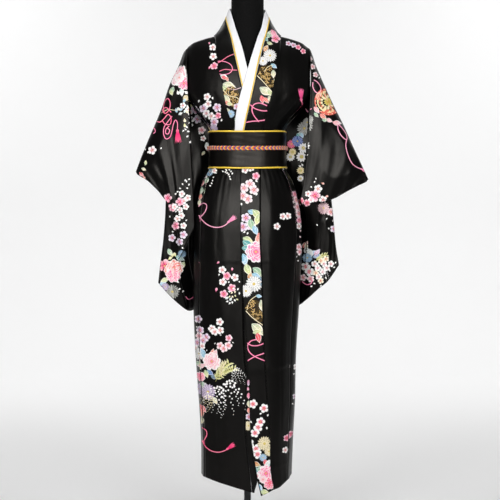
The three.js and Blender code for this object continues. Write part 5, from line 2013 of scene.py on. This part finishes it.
# %% Floor and backdrop
FLOOR_FRONT, FLOOR_BACK, FLOOR_HALF_WIDTH = -8.0, 5.2, 9.0  # metres
SWEEP_RADIUS, WALL_TOP, SWEEP_STEPS = 1.3, 7.0, 24
BELOW_FEET = 0.0005
PAPER_WHITE = 0.95


def sweep():
    """A floor that rises behind the object in a quarter circle to a wall."""
    turn = np.linspace(0, np.pi / 2, SWEEP_STEPS)[1:]
    profile = [(FLOOR_FRONT, 0.0), (FLOOR_BACK, 0.0)]
    profile += [(FLOOR_BACK + SWEEP_RADIUS * math.sin(t), SWEEP_RADIUS * (1 - math.cos(t)))
                for t in turn]
    profile.append((FLOOR_BACK + SWEEP_RADIUS, WALL_TOP))
    rows = np.array([[(x, y, z - BELOW_FEET) for x in (-FLOOR_HALF_WIDTH, FLOOR_HALF_WIDTH)]
                     for y, z in profile])
    return new_object("backdrop", rows.reshape(-1, 3), grid_faces(len(profile), 2))


backdrop = sweep()
paper, *_ = material("backdrop_paper", (PAPER_WHITE,) * 3, 0.9)
backdrop.data.materials.append(paper)
print("wall at", FLOOR_BACK + SWEEP_RADIUS, "m")

# %% Lights
NARROW, WIDE = 56, 180  # spread in degrees
# name, place, aim, size in metres, watts, spread
LIGHTS = [
    ("key", (-1.8, -4.0, 2.1), (0, 0, 1.05), (1.7, 1.6), 11, NARROW),
    ("front", (-0.2, -4.4, 2.15), (0, 0, 1.05), (1.2, 0.9), 6, NARROW),
    ("fill", (1.6, -4.1, 2.0), (0, 0, 1.0), (1.7, 1.6), 10, NARROW),
    ("top", (0, -0.6, 4.4), (0, 0, 0.9), (2.6, 1.6), 28, WIDE),
    ("wall_left", (-3.4, 3.6, 4.4), (-1.5, 6.4, 0.4), (2.0, 1.6), 110, WIDE),
    ("wall_right", (3.4, 3.6, 4.4), (1.5, 6.4, 0.4), (2.0, 1.6), 110, WIDE),
]
WORLD_STRENGTH = 0.15


def area_light(name, place, aim, size, watts, spread):
    """A rectangular light that the camera doesn't see."""
    data = bpy.data.lights.new(name, "AREA")
    data.shape, data.size, data.size_y = "RECTANGLE", size[0], size[1]
    data.energy, data.spread = watts, math.radians(spread)
    light = bpy.data.objects.new(name, data)
    light.location = place
    way = Vector(aim) - Vector(place)
    light.rotation_euler = way.to_track_quat("-Z", "Y").to_euler()
    light.visible_camera = False
    bpy.context.collection.objects.link(light)


for row in LIGHTS:
    area_light(*row)
world = bpy.data.worlds.new("world")
world.use_nodes = True
background = world.node_tree.nodes["Background"]
background.inputs["Color"].default_value = (1, 1, 1, 1)
background.inputs["Strength"].default_value = WORLD_STRENGTH
bpy.context.scene.world = world
print("lights", len(LIGHTS))
